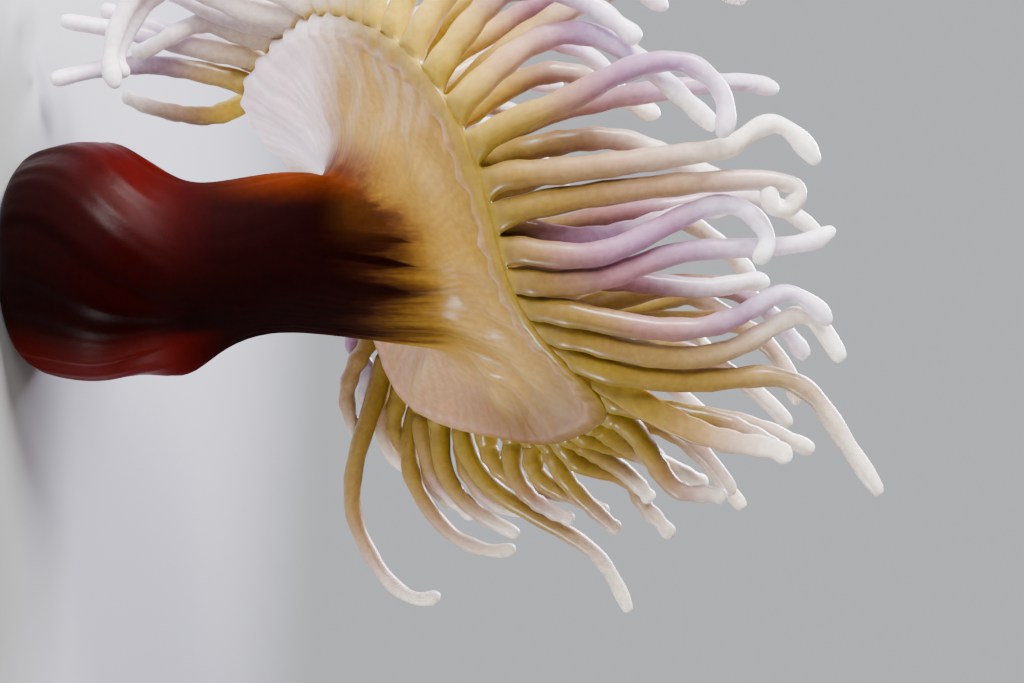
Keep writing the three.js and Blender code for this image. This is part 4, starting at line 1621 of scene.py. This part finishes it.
MOTTLING = Grain(55.0, 3.0)
BLOTCHES = Grain(16.0)
SPECKLES = Grain(620.0)
PORES = Grain(900.0, 3.0)
WRINKLES = Grain(210.0, 3.0)
STREAKS = Grain(150.0, 4.0, 0.65)

EDGE_NARROWNESS = 9.0


class Survey:
    """What the finish reads from the flesh.

    Attributes:
        sheet: The material's node tree.
        place: Object coordinates, in metres.
        down: Place along X, towards the side that hangs.
        up: Height above the floor.
        reach: Place on the profile, from 0 on the sole to 3 in the mouth.
        limb: Share of a tentacle's length, which is 0 on the body.
        tint: A number of the tentacle's own, from 0 to 1.
        tone: Another such number.
        crest: 1 on the crests of the separate ridges.
        cosine: Cosine of the azimuth, which is 1 on the side that hangs.
        sine: Sine of the azimuth, which is -1 on the near side.
        turn: The azimuth, in radians.
        mottle: Mottling, from 0 to 1.
        broad: Broad blotches, from 0 to 1.
        edge: 1 where the column passes into the disc.
    """

    def __init__(self, sheet: Sheet) -> None:
        """Add the nodes that everything else reads.

        Args:
            sheet: The material's node tree.
        """
        self.sheet = sheet
        self.place = sheet.place()
        self.down, _, self.up = sheet.split(self.place)
        self.reach = sheet.amount("reach")
        self.limb = sheet.amount("limb")
        self.tint = sheet.amount("tint")
        self.tone = sheet.amount("tone")
        self.crest = sheet.amount("crest")
        spoke = sheet.node("ShaderNodeAttribute", {"attribute_name": "spoke"}, {})
        self.cosine, self.sine, _ = sheet.split(spoke.outputs["Vector"])
        self.turn = self.sine.angle(self.cosine)
        self.mottle = sheet.noise(self.place, MOTTLING)
        self.broad = sheet.noise(self.place, BLOTCHES)
        above = self.reach - 1.0
        self.edge = 1.0 - (above * above * EDGE_NARROWNESS).ramped(0.0, 1.0)

    def raised(self, low: float, high: float) -> Amount:
        """1 above the middle of the column, from one distance in millimetres to another."""
        return (-self.down).ramped(low * MM, high * MM)

    def facing(self, cosine: float, sine: float) -> Amount:
        """How much the flesh faces a way, from the weights of its azimuth's cosine and sine."""
        return self.cosine * cosine + self.sine * sine

    def within(self, start: Span, end: Span) -> Amount:
        """1 on a stretch of the profile.

        Args:
            start: Reach at which it starts and at which it is whole.
            end: Reach at which it starts to fade and at which it is gone.

        Returns:
            The amount.
        """
        return self.reach.ramped(*start) * (1.0 - self.reach.ramped(*end))


@dataclass(frozen=True)
class Wash:
    """Colour that is laid over another, and how strongly it covers at most."""

    colour: Colour
    share: float

    def over(self, sheet: Sheet, base: bpy.types.NodeSocket, mask: Amount) -> bpy.types.NodeSocket:
        """Lay the colour over a base where the mask is 1."""
        return sheet.mix(mask * self.share, base, self.colour)


# Spans of a stretch that has no soft start or no soft end
ALWAYS = (-1.0, -0.5)
NEVER = (8.0, 9.0)


@dataclass(frozen=True)
class Patch:
    """Patch of colour on one side of the body.

    Attributes:
        wash: Its colour.
        facing: The way it faces, as weights of the azimuth's cosine and sine.
        turn: How much the flesh faces that way where the patch starts and where it is whole.
        start: Reach at which it starts and at which it is whole; on a tentacle, share of length.
        end: Reach at which it starts to fade and at which it is gone; on a tentacle, the same.
    """

    wash: Wash
    facing: Way
    turn: Span
    start: Span = ALWAYS
    end: Span = NEVER

    def over(
        self, survey: Survey, base: bpy.types.NodeSocket, along: Amount
    ) -> bpy.types.NodeSocket:
        """Lay the patch over a base.

        Args:
            survey: What the finish reads.
            base: The colour under it.
            along: The reach, or the share of a tentacle's length.

        Returns:
            The colour's socket.
        """
        side = survey.facing(*self.facing).ramped(*self.turn)
        mask = side * along.ramped(*self.start) * (1.0 - along.ramped(*self.end))
        return self.wash.over(survey.sheet, base, mask)


@dataclass(frozen=True)
class Slit:
    """Slit of the column's dark colour that runs up on to the disc, in millimetres.

    Attributes:
        level: Where its tip is across the column, along X.
        tip: Height of its tip.
        half_width: Half its width.
        depth: How much of the profile it darkens by.
    """

    level: float
    tip: float
    half_width: float
    depth: float


HANGING = (1.0, 0.0)
RAISED = (-1.0, 0.0)
NEAR = (0.0, -1.0)
AT_MARGIN = (1.97, 2.02)


@dataclass(frozen=True)
class BodyPaint:
    """Colours of foot, column and disc.

    Places along the profile are given as reach, and the stops as a third of it. A side is given
    as the cosine of the angle to it, and every other length in millimetres.
    """

    # painted shade and highlight: the foot is darkened towards the sole, painted shade, and redder at its
    # shoulder, a painted highlight; the column is near black, its own dark maroon deepened by painted shade
    stops: Stops = (
        (0.00, srgb(20, 1, 1)),
        (0.05, srgb(30, 1, 1)),
        (0.12, srgb(54, 2, 1)),
        (0.16, srgb(36, 1, 1)),
        (0.19, srgb(22, 1, 1)),
        (0.24, srgb(18, 1, 1)),
        (0.30, srgb(20, 2, 1)),
        (0.325, srgb(38, 14, 5)),
        (0.343, srgb(76, 46, 16)),
        (0.362, srgb(112, 80, 26)),
        (0.39, srgb(146, 110, 34)),
        (0.43, srgb(174, 134, 46)),
        (0.50, srgb(186, 146, 58)),
        (0.58, srgb(178, 140, 60)),
        (0.634, srgb(176, 140, 62)),
        (0.640, srgb(204, 160, 130)),
        (0.645, srgb(198, 156, 122)),
        (0.652, srgb(150, 122, 44)),
        (0.70, srgb(146, 122, 40)),
        (0.82, srgb(150, 112, 56)),
        (0.93, srgb(150, 98, 80)),
        (0.97, srgb(134, 74, 64)),
        (1.00, srgb(70, 22, 20)),
    )

    # how far streaks, mottling, the hanging side and the column's upper edge move these colours
    streak_squash: float = 0.07
    streak_shift: float = 0.5
    mottle_shift: float = 0.05
    hanging_side: Span = (-0.35, 0.65)
    hanging_shift: float = 0.09
    upper_above: Span = (17.0, 29.0)
    upper_shift: float = 0.14

    # dark slits where the column runs up on to the disc; they lean, widen and end sharply
    slits: tuple[Slit, ...] = (
        Slit(-12.0, 100.0, 1.6, 0.07),
        Slit(-3.0, 106.5, 0.9, 0.17),
        Slit(2.9, 107.5, 1.0, 0.19),
        Slit(9.5, 106.0, 1.4, 0.08),
    )
    slit_side: Span = (0.2, 0.6)
    slit_slope: float = 0.15
    slit_length: float = 12.0
    slit_gain: float = 1.3

    # painted light along the upper side of the column, above its middle: a brownish red band, a warm tone
    # near the collar and amber at its edge with the disc
    painted_light_rim: Wash = Wash(srgb(104, 38, 7), 0.8)
    painted_light_rim_above: Span = (12.0, 24.0)
    painted_light_rim_start: Span = (0.45, 0.8)
    painted_light_rim_end: Span = (1.0, 1.1)
    painted_light_warm: Wash = Wash(srgb(146, 86, 32), 0.15)
    painted_light_warm_above: Span = (0.0, 12.0)
    painted_light_warm_height: Span = (78.0, 90.0)
    painted_light_amber: Wash = Wash(srgb(150, 76, 16), 0.4)

    # patches, in the order in which they are laid
    patches: tuple[Patch, ...] = (
        # the near side of foot and column is darkened, painted shade; the lower edge of the foot is redder,
        # painted light
        Patch(Wash(srgb(12, 1, 1), 0.85), NEAR, (0.3, 1.0), ALWAYS, (0.5, 0.7)),
        Patch(Wash(srgb(96, 8, 2), 0.5), HANGING, (0.5, 1.0), ALWAYS, (0.4, 0.6)),
        # painted highlight: pale gold lustre on the raised side
        Patch(Wash(srgb(236, 192, 112), 0.4), (-0.85, -0.53), (0.6, 1.0), (1.25, 1.5), (1.9, 1.95)),
        # the hanging side is rosy; umber towards its margin is painted shade
        Patch(Wash(srgb(206, 160, 132), 0.55), (0.77, 0.64), (0.72, 0.98), (1.15, 1.5), AT_MARGIN),
        Patch(Wash(srgb(112, 76, 38), 0.85), (0.98, -0.17), (0.7, 1.0), (1.55, 1.85), AT_MARGIN),
    )

    # white of the flap at the disc's raised end, more of it towards the far side and the margin; partly the
    # flap's own pale colour and partly painted light
    flap: Wash = Wash(srgb(255, 238, 252), 0.95)
    flap_facing: Way = (-0.5, 1.0)
    flap_reach: float = 1.5
    flap_fade: Span = (0.25, 1.05)
    flap_side: Span = (0.3, 0.7)
    flap_start: Span = (1.05, 1.3)

    # painted shade, reddish, in the groove beside the parapet, and painted highlights, golden, on the
    # crests of the ridges
    groove: Wash = Wash(srgb(150, 100, 84), 0.5)
    groove_reach: float = 1.885
    groove_narrowness: float = 40.0
    groove_fade: Span = (0.2, 1.0)
    groove_side: Span = (0.3, 0.8)
    crest: Wash = Wash(srgb(232, 202, 140), 0.25)

    # lines of the partitions inside, which show through the underside, and its pale clouds
    under_start: Span = (1.02, 1.3)
    under_end: Span = (1.96, 2.0)
    partitions: Wash = Wash(srgb(150, 96, 60), 0.16)
    partition_count: float = 96.0
    partition_wander: float = 3.0
    cloud: Wash = Wash(srgb(240, 218, 180), 0.22)
    cloud_fade: Span = (0.5, 0.8)

    def upper_edge(self, survey: Survey) -> Amount:
        """1 on the upper edge of the column where it meets the disc, where amber painted light is laid."""
        return survey.raised(*self.upper_above) * survey.edge

    def streaked(self, survey: Survey) -> Amount:
        """Reach that the colours are taken at, drawn out into streaks and slits.

        Args:
            survey: What the finish reads.

        Returns:
            The reach, moved to and fro.
        """
        inputs = {0: survey.place, 1: (1.0, 1.0, self.streak_squash)}
        drawn_out = survey.sheet.node("ShaderNodeVectorMath", {"operation": "MULTIPLY"}, inputs)
        streak = survey.sheet.noise(drawn_out.outputs[0], STREAKS)
        shift = (streak - 0.5) * self.streak_shift
        shift = shift + survey.cosine.ramped(*self.hanging_side) * self.hanging_shift
        drawn = survey.reach + survey.edge * shift + (survey.mottle - 0.5) * self.mottle_shift
        drawn = drawn - self.upper_edge(survey) * self.upper_shift
        near = survey.edge * (-survey.sine).ramped(*self.slit_side)
        for slit in self.slits:
            above = survey.up - slit.tip * MM
            off = (survey.down - slit.level * MM - above * self.slit_slope).size()
            ahead = (-above).ramped(0.0, self.slit_length * MM) * self.slit_gain
            inside = (ahead - off / (slit.half_width * MM)).ramped(0.0, 1.0)
            drawn = drawn - inside * near * slit.depth
        return drawn

    def whitened(self, survey: Survey) -> Amount:
        """Find the whitish flap at the disc's raised end, whose white is partly painted light.

        Args:
            survey: What the finish reads.

        Returns:
            1 on the flap, and more of it towards the far side.
        """
        whiter = survey.facing(*self.flap_facing) + survey.reach - self.flap_reach
        side = (-survey.cosine).ramped(*self.flap_side)
        return whiter.ramped(*self.flap_fade) * side * survey.within(self.flap_start, AT_MARGIN)

    def lines(self, survey: Survey) -> Amount:
        """Fine lines of the partitions inside, from 0 to 1."""
        wander = (survey.mottle - 0.5) * self.partition_wander
        return (survey.turn * self.partition_count + wander).sine() * 0.5 + 0.5

    def under(self, survey: Survey) -> Amount:
        """1 on the underside of the disc."""
        return survey.within(self.under_start, self.under_end)

    def lay_painted_top_light(self, survey: Survey, base: bpy.types.NodeSocket) -> bpy.types.NodeSocket:
        """Lay painted light on the upper side of the column.

        Args:
            survey: What the finish reads.
            base: The colour under it.

        Returns:
            The colour's socket.
        """
        sheet = survey.sheet
        lit = survey.raised(*self.painted_light_rim_above) * survey.within(self.painted_light_rim_start, self.painted_light_rim_end)
        low, high = self.painted_light_warm_height
        warm = survey.raised(*self.painted_light_warm_above) * survey.up.ramped(low * MM, high * MM)
        body = self.painted_light_rim.over(sheet, base, lit)
        body = self.painted_light_warm.over(sheet, body, warm * survey.edge)
        return self.painted_light_amber.over(sheet, body, self.upper_edge(survey))

    def colour(self, survey: Survey) -> bpy.types.NodeSocket:
        """Colour of the body.

        Args:
            survey: What the finish reads.

        Returns:
            The colour's socket.
        """
        sheet = survey.sheet
        body = self.lay_painted_top_light(survey, sheet.ramp(self.streaked(survey) / 3.0, self.stops))
        for patch in self.patches:
            body = patch.over(survey, body, survey.reach)
        # the flap's white, partly painted light
        body = self.flap.over(sheet, body, self.whitened(survey))
        # painted shade in the groove beside the parapet
        off = ((survey.reach - self.groove_reach) * self.groove_narrowness).size()
        near = (-survey.sine).ramped(*self.groove_side)
        body = self.groove.over(sheet, body, (1.0 - off.ramped(*self.groove_fade)) * near)
        # painted highlight on the crests of the ridges
        body = self.crest.over(sheet, body, survey.crest)
        under = self.under(survey)
        body = self.partitions.over(sheet, body, self.lines(survey) * under)
        return self.cloud.over(sheet, body, survey.broad.ramped(*self.cloud_fade) * under)


@dataclass(frozen=True)
class TentaclePaint:
    """Colours of the tentacles, from root to tip.

    Places along a tentacle are shares of its length, and a side is given as the cosine of the
    angle to it.
    """

    warm: Stops = (
        (0.00, srgb(128, 104, 36)),
        (0.20, srgb(134, 106, 50)),
        (0.42, srgb(150, 120, 88)),
        (0.62, srgb(182, 156, 140)),
        (0.80, srgb(232, 222, 208)),
        (1.00, srgb(255, 255, 252)),
    )
    mauve: Stops = (
        (0.00, srgb(128, 104, 38)),
        (0.16, srgb(130, 102, 58)),
        (0.34, srgb(138, 98, 112)),
        (0.58, srgb(162, 128, 168)),
        (0.78, srgb(218, 204, 232)),
        (1.00, srgb(252, 250, 255)),
    )

    # how far mottling, the tentacle's own tint and the hanging side move these colours
    mottle_shift: float = 0.16
    tint_shift: float = 0.18
    hanging_shift: float = 0.14
    hanging_side: Span = (0.2, 0.8)

    # how far the tone makes a tentacle mauve; blotches change that, and the hanging side has less
    blotch_share: float = 0.9
    hanging_share: float = 0.5
    mauve_side: Span = (0.1, 0.8)
    mauve_fade: Span = (0.15, 0.65)

    # rosy bands: their phase grows along a tentacle, from one to the next and with the blotches
    band: Wash = Wash(srgb(158, 104, 118), 0.4)
    band_turns: tuple[float, float, float] = (9.0, 31.0, 4.0)
    band_fade: Span = (0.55, 1.0)
    band_start: Span = (0.1, 0.3)
    band_end: Span = (0.6, 0.85)
    band_tone: Span = (0.35, 0.8)

    patches: tuple[Patch, ...] = (
        # olive on the hanging side; yellow at the roots of the raised side, partly their own yellow and
        # partly painted light; whitened at its end, painted light
        Patch(Wash(srgb(146, 122, 28), 0.6), HANGING, (0.2, 0.8), ALWAYS, (0.5, 0.8)),
        Patch(Wash(srgb(226, 192, 56), 0.6), RAISED, (0.1, 0.8), ALWAYS, (0.25, 0.5)),
        Patch(Wash(srgb(236, 226, 240), 0.65), RAISED, (0.8, 1.0), (0.02, 0.12)),
    )

    def mixed(self, survey: Survey) -> bpy.types.NodeSocket:
        """Colour along each tentacle, warm on some and mauve on others.

        Args:
            survey: What the finish reads.

        Returns:
            The colour's socket.
        """
        sheet = survey.sheet
        hanging = survey.cosine
        wander = survey.limb + (survey.mottle - 0.5) * self.mottle_shift
        wander = wander + (survey.tint - 0.5) * self.tint_shift
        wander = wander - hanging.ramped(*self.hanging_side) * self.hanging_shift
        share = survey.tone + (survey.broad - 0.5) * self.blotch_share
        share = share - hanging.ramped(*self.mauve_side) * self.hanging_share
        warm = sheet.ramp(wander, self.warm)
        mauve = sheet.ramp(wander, self.mauve)
        return sheet.mix(share.ramped(*self.mauve_fade), warm, mauve)

    def banded(self, survey: Survey) -> Amount:
        """Find the rosy bands.

        Args:
            survey: What the finish reads.

        Returns:
            1 in the middle of a band.
        """
        along, between, blotches = self.band_turns
        phase = survey.limb * along + survey.tint * between + (survey.broad - 0.5) * blotches
        middle = survey.limb.ramped(*self.band_start) * (1.0 - survey.limb.ramped(*self.band_end))
        return phase.sine().ramped(*self.band_fade) * middle * survey.tone.ramped(*self.band_tone)

    def colour(self, survey: Survey) -> bpy.types.NodeSocket:
        """Colour of the tentacles.

        Args:
            survey: What the finish reads.

        Returns:
            The colour's socket.
        """
        skin = self.band.over(survey.sheet, self.mixed(survey), self.banded(survey))
        for patch in self.patches:
            skin = patch.over(survey, skin, survey.limb)
        return skin


@dataclass(frozen=True)
class FleshFinish:
    """Wet, slightly see-through skin: dull and dark on the column, moist on disc and tentacles."""

    body: BodyPaint = BodyPaint()
    tentacles: TentaclePaint = TentaclePaint()

    # share of a tentacle's length over which its colours take over from the body's
    root: float = 0.06

    # fine dark speckles, which stop where their noise is strong
    speckle: Wash = Wash(srgb(206, 200, 196), 0.35)
    speckle_fade: Span = (0.35, 0.65)

    # the column is duller than the foot, and the moist skin starts where the disc does
    roughness: float = 0.42
    rough_mottle: float = 0.2
    worn: float = 0.34
    worn_start: Span = (0.36, 0.5)
    wet: Span = (0.95, 1.3)
    coat: float = 0.28
    coat_roughness: float = 0.16
    wet_index: float = 1.36
    dull_index: float = 1.12

    # painted glow: emission that stands in for light through the whitest flesh, and through the tips of the
    # tentacles
    glow: float = 0.7
    tip_glow: float = 0.17
    tip_start: Span = (0.45, 0.9)

    # light inside the flesh: how deep it goes in metres, and how that differs by red, green, blue
    subsurface: float = 0.5
    depth: float = 0.003
    depth_by_colour: tuple[float, float, float] = (1.0, 0.72, 0.55)

    # fine relief, its height in metres and the share of each part in it
    bump: float = 0.35
    bump_height: float = 0.0005
    pores: float = 0.25
    wrinkles: float = 0.7
    partitions: float = 0.55

    def colour(self, survey: Survey) -> bpy.types.NodeSocket:
        """Colour of the whole skin, with a fine speckle.

        Args:
            survey: What the finish reads.

        Returns:
            The colour's socket.
        """
        sheet = survey.sheet
        tentacle = survey.limb.ramped(0.0, self.root)
        colour = sheet.mix(tentacle, self.body.colour(survey), self.tentacles.colour(survey))
        clear = sheet.noise(survey.place, SPECKLES).ramped(*self.speckle_fade)
        speckle = sheet.mix(clear, self.speckle.colour, WHITE)
        return sheet.mix(self.speckle.share, colour, speckle, "MULTIPLY")

    def fine_relief(self, survey: Survey) -> bpy.types.NodeSocket:
        """Pores, wrinkles and lines of the partitions.

        Args:
            survey: What the finish reads.

        Returns:
            The socket of the normal that they give.
        """
        pores = survey.sheet.noise(survey.place, PORES)
        wrinkles = survey.sheet.noise(survey.place, WRINKLES)
        lines = self.body.lines(survey) * self.body.under(survey)
        height = pores * self.pores + wrinkles * self.wrinkles + lines * self.partitions
        inputs = {"Strength": self.bump, "Distance": self.bump_height, "Height": height}
        return survey.sheet.node("ShaderNodeBump", {}, inputs).outputs[0]

    def skins(self, survey: Survey) -> list[bpy.types.NodeSocket]:
        """Shaders of the dull and of the moist skin.

        Args:
            survey: What the finish reads.

        Returns:
            The two shaders' sockets.
        """
        sheet = survey.sheet
        colour = self.colour(survey)
        rough = self.roughness + (survey.mottle - 0.5) * self.rough_mottle
        # painted glow on the tips of the tentacles and on the whitish flap
        tips = survey.limb.ramped(*self.tip_start) * self.tip_glow
        glow = (self.body.whitened(survey) + tips).ramped(0.0, 1.0)
        common = {
            "Base Color": colour,
            "Normal": self.fine_relief(survey),
            "Subsurface Weight": self.subsurface,
            "Subsurface Radius": self.depth_by_colour,
            "Subsurface Scale": self.depth,
        }
        dull = {
            "Roughness": rough + survey.reach.ramped(*self.worn_start) * self.worn,
            "IOR": self.dull_index,
        }
        moist = {
            "Roughness": rough,
            "Coat Weight": self.coat,
            "Coat Roughness": self.coat_roughness,
            "IOR": self.wet_index,
            "Emission Color": sheet.mix(glow, BLACK, colour),
            "Emission Strength": self.glow,
        }
        kind = "ShaderNodeBsdfPrincipled"
        method = {"subsurface_method": "RANDOM_WALK"}
        return [sheet.node(kind, method, {**common, **own}).outputs[0] for own in (dull, moist)]

    def dress(self, piece: bpy.types.Object) -> None:
        """Put the finish on a piece.

        Args:
            piece: The flesh, with its reach, limb, tint, tone, crest and spoke attributes.
        """
        material = bpy.data.materials.new("anemone_flesh")
        material.use_nodes = True
        sheet = Sheet(material.node_tree)
        survey = Survey(sheet)
        dull, moist = self.skins(survey)
        wet = survey.reach.ramped(*self.wet)
        skin = sheet.node("ShaderNodeMixShader", {}, {0: wet, 1: dull, 2: moist})
        sheet.node("ShaderNodeOutputMaterial", {}, {"Surface": skin.outputs[0]})
        piece.data.materials.clear()
        piece.data.materials.append(material)


# ---------------------------------------------------------------- studio


@dataclass(frozen=True)
class Lamp:
    """One soft lamp.

    Attributes:
        name: Its name.
        at: Where it is, in metres.
        power: Its power in watts.
        size: Its width in metres.
        colour: Its colour.
        mirrored: Whether the wet skin mirrors it.
    """

    name: str
    at: tuple[float, float, float]
    power: float
    size: float
    colour: tuple[float, float, float] = (1.0, 1.0, 1.0)
    mirrored: bool = True


@dataclass(frozen=True)
class Studio:
    """Pale floor, soft lamps and the camera, in metres.

    Attributes:
        target: Where the lamps point.
        eye: Where the camera is.
        focal: The camera's focal length in millimetres.
        film: Width of its film in millimetres.
        nearest: Nearest distance that it sees.
        room: Colour of the surroundings.
        room_glow: How brightly they light the object; they are seen at full strength.
        floor_radius: Radius of the floor.
        floor_sides: Sides of the floor.
        floor_fade: Distance at which the floor starts to fade and is gone.
        floor_colour: Its colour.
        floor_roughness: Its roughness.
        lamps: The lamps.
    """

    target: tuple[float, float, float] = (-0.01, 0.01, 0.11)
    eye: tuple[float, float, float] = (0.02096, -0.375, 0.1276)
    focal: float = 49.99
    film: float = 36.0
    nearest: float = 0.01
    room: Colour = (0.56, 0.57, 0.59, 1.0)
    room_glow: float = 0.20
    floor_radius: float = 1.6
    floor_sides: int = 96
    floor_fade: Span = (0.10, 0.62)
    floor_colour: Colour = (0.34, 0.345, 0.355, 1.0)
    floor_roughness: float = 0.8
    lamps: tuple[Lamp, ...] = (
        Lamp("key_lamp", (-0.60, -0.30, 0.40), 22.0, 0.30, (1.0, 0.98, 0.98)),
        Lamp("left_lamp", (-0.30, -0.50, 0.08), 5.0, 0.3, (1.0, 0.97, 0.95), False),
        Lamp("low_lamp", (0.30, -0.55, 0.10), 1.6, 0.4, (1.0, 0.93, 0.80), False),
        Lamp("glint_lamp", (0.34, -0.06, 0.04), 0.7, 0.08, (1.0, 0.99, 0.97)),
        Lamp("back_lamp", (-0.25, 0.50, 0.60), 24.0, 0.35, (0.84, 0.82, 1.0)),
    )

    def floor(self) -> None:
        """Lay the pale floor; it fades into the surroundings away from the object."""
        mesh = bpy.data.meshes.new("floor")
        made = bmesh.new()
        bmesh.ops.create_circle(
            made, cap_ends=True, segments=self.floor_sides, radius=self.floor_radius
        )
        made.to_mesh(mesh)
        made.free()
        floor = bpy.data.objects.new("floor", mesh)
        bpy.context.scene.collection.objects.link(floor)
        material = bpy.data.materials.new("floor")
        material.use_nodes = True
        sheet = Sheet(material.node_tree)
        out = sheet.node("ShaderNodeVectorMath", {"operation": "LENGTH"}, {0: sheet.place()})
        fade = Amount(sheet, out.outputs["Value"]).ramped(*self.floor_fade)
        coat = {"Base Color": self.floor_colour, "Roughness": self.floor_roughness}
        paint = sheet.node("ShaderNodeBsdfPrincipled", {}, coat)
        clear = sheet.node("ShaderNodeBsdfTransparent", {}, {})
        blend = sheet.node("ShaderNodeMixShader", {}, {0: fade, 1: paint.outputs[0], 2: clear.outputs[0]})
        sheet.node("ShaderNodeOutputMaterial", {}, {"Surface": blend.outputs[0]})
        mesh.materials.append(material)

    def hang(self, lamp: Lamp) -> None:
        """Hang one lamp and turn it to the object.

        Args:
            lamp: The lamp.
        """
        light = bpy.data.lights.new(lamp.name, "AREA")
        light.energy = lamp.power
        light.shape = "DISK"
        light.size = lamp.size
        light.color = lamp.colour
        holder = bpy.data.objects.new(lamp.name, light)
        holder.location = lamp.at
        holder.visible_glossy = lamp.mirrored
        aim = Vector(self.target) - Vector(lamp.at)
        holder.rotation_euler = aim.to_track_quat("-Z", "Y").to_euler()
        bpy.context.scene.collection.objects.link(holder)

    def lights(self) -> None:
        """Hang the lamps and fill the room with pale light."""
        for lamp in self.lamps:
            self.hang(lamp)
        world = bpy.data.worlds.new("room")
        world.use_nodes = True
        sheet = Sheet(world.node_tree)
        seen = sheet.node("ShaderNodeLightPath", {}, {}).outputs["Is Camera Ray"]
        level = sheet.node("ShaderNodeMapRange", {}, {"Value": seen, "To Min": self.room_glow})
        room = {"Color": self.room, "Strength": level.outputs[0]}
        light = sheet.node("ShaderNodeBackground", {}, room)
        sheet.node("ShaderNodeOutputWorld", {}, {"Surface": light.outputs[0]})
        bpy.context.scene.world = world

    def camera(self) -> None:
        """Set the camera: level, looking along +Y and rolled a quarter turn."""
        lens = bpy.data.cameras.new("camera")
        lens.lens = self.focal
        lens.sensor_width = self.film
        lens.clip_start = self.nearest
        holder = bpy.data.objects.new("camera", lens)
        turn = Matrix(((0.0, -1.0, 0.0), (0.0, 0.0, -1.0), (1.0, 0.0, 0.0)))
        holder.matrix_world = Matrix.Translation(self.eye) @ turn.to_4x4()
        bpy.context.scene.collection.objects.link(holder)
        bpy.context.scene.camera = holder


def main() -> None:
    """Build the anemone and its studio."""
    logging.basicConfig(level=logging.INFO)
    disc, stalk = Disc(), Stalk()
    crown = Crown(disc)
    crown.lay()
    crown.relax()
    log.info("crown: %d tentacles", len(crown.tentacles))
    flesh = Skin(Cage(disc, stalk, crown), Relief()).build()
    FleshFinish().dress(flesh)
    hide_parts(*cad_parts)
    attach(flesh, "root")
    studio = Studio()
    studio.floor()
    studio.lights()
    studio.camera()
    log.info("studio: %d lamps", len(studio.lamps))


if __name__ == "__main__":
    main()
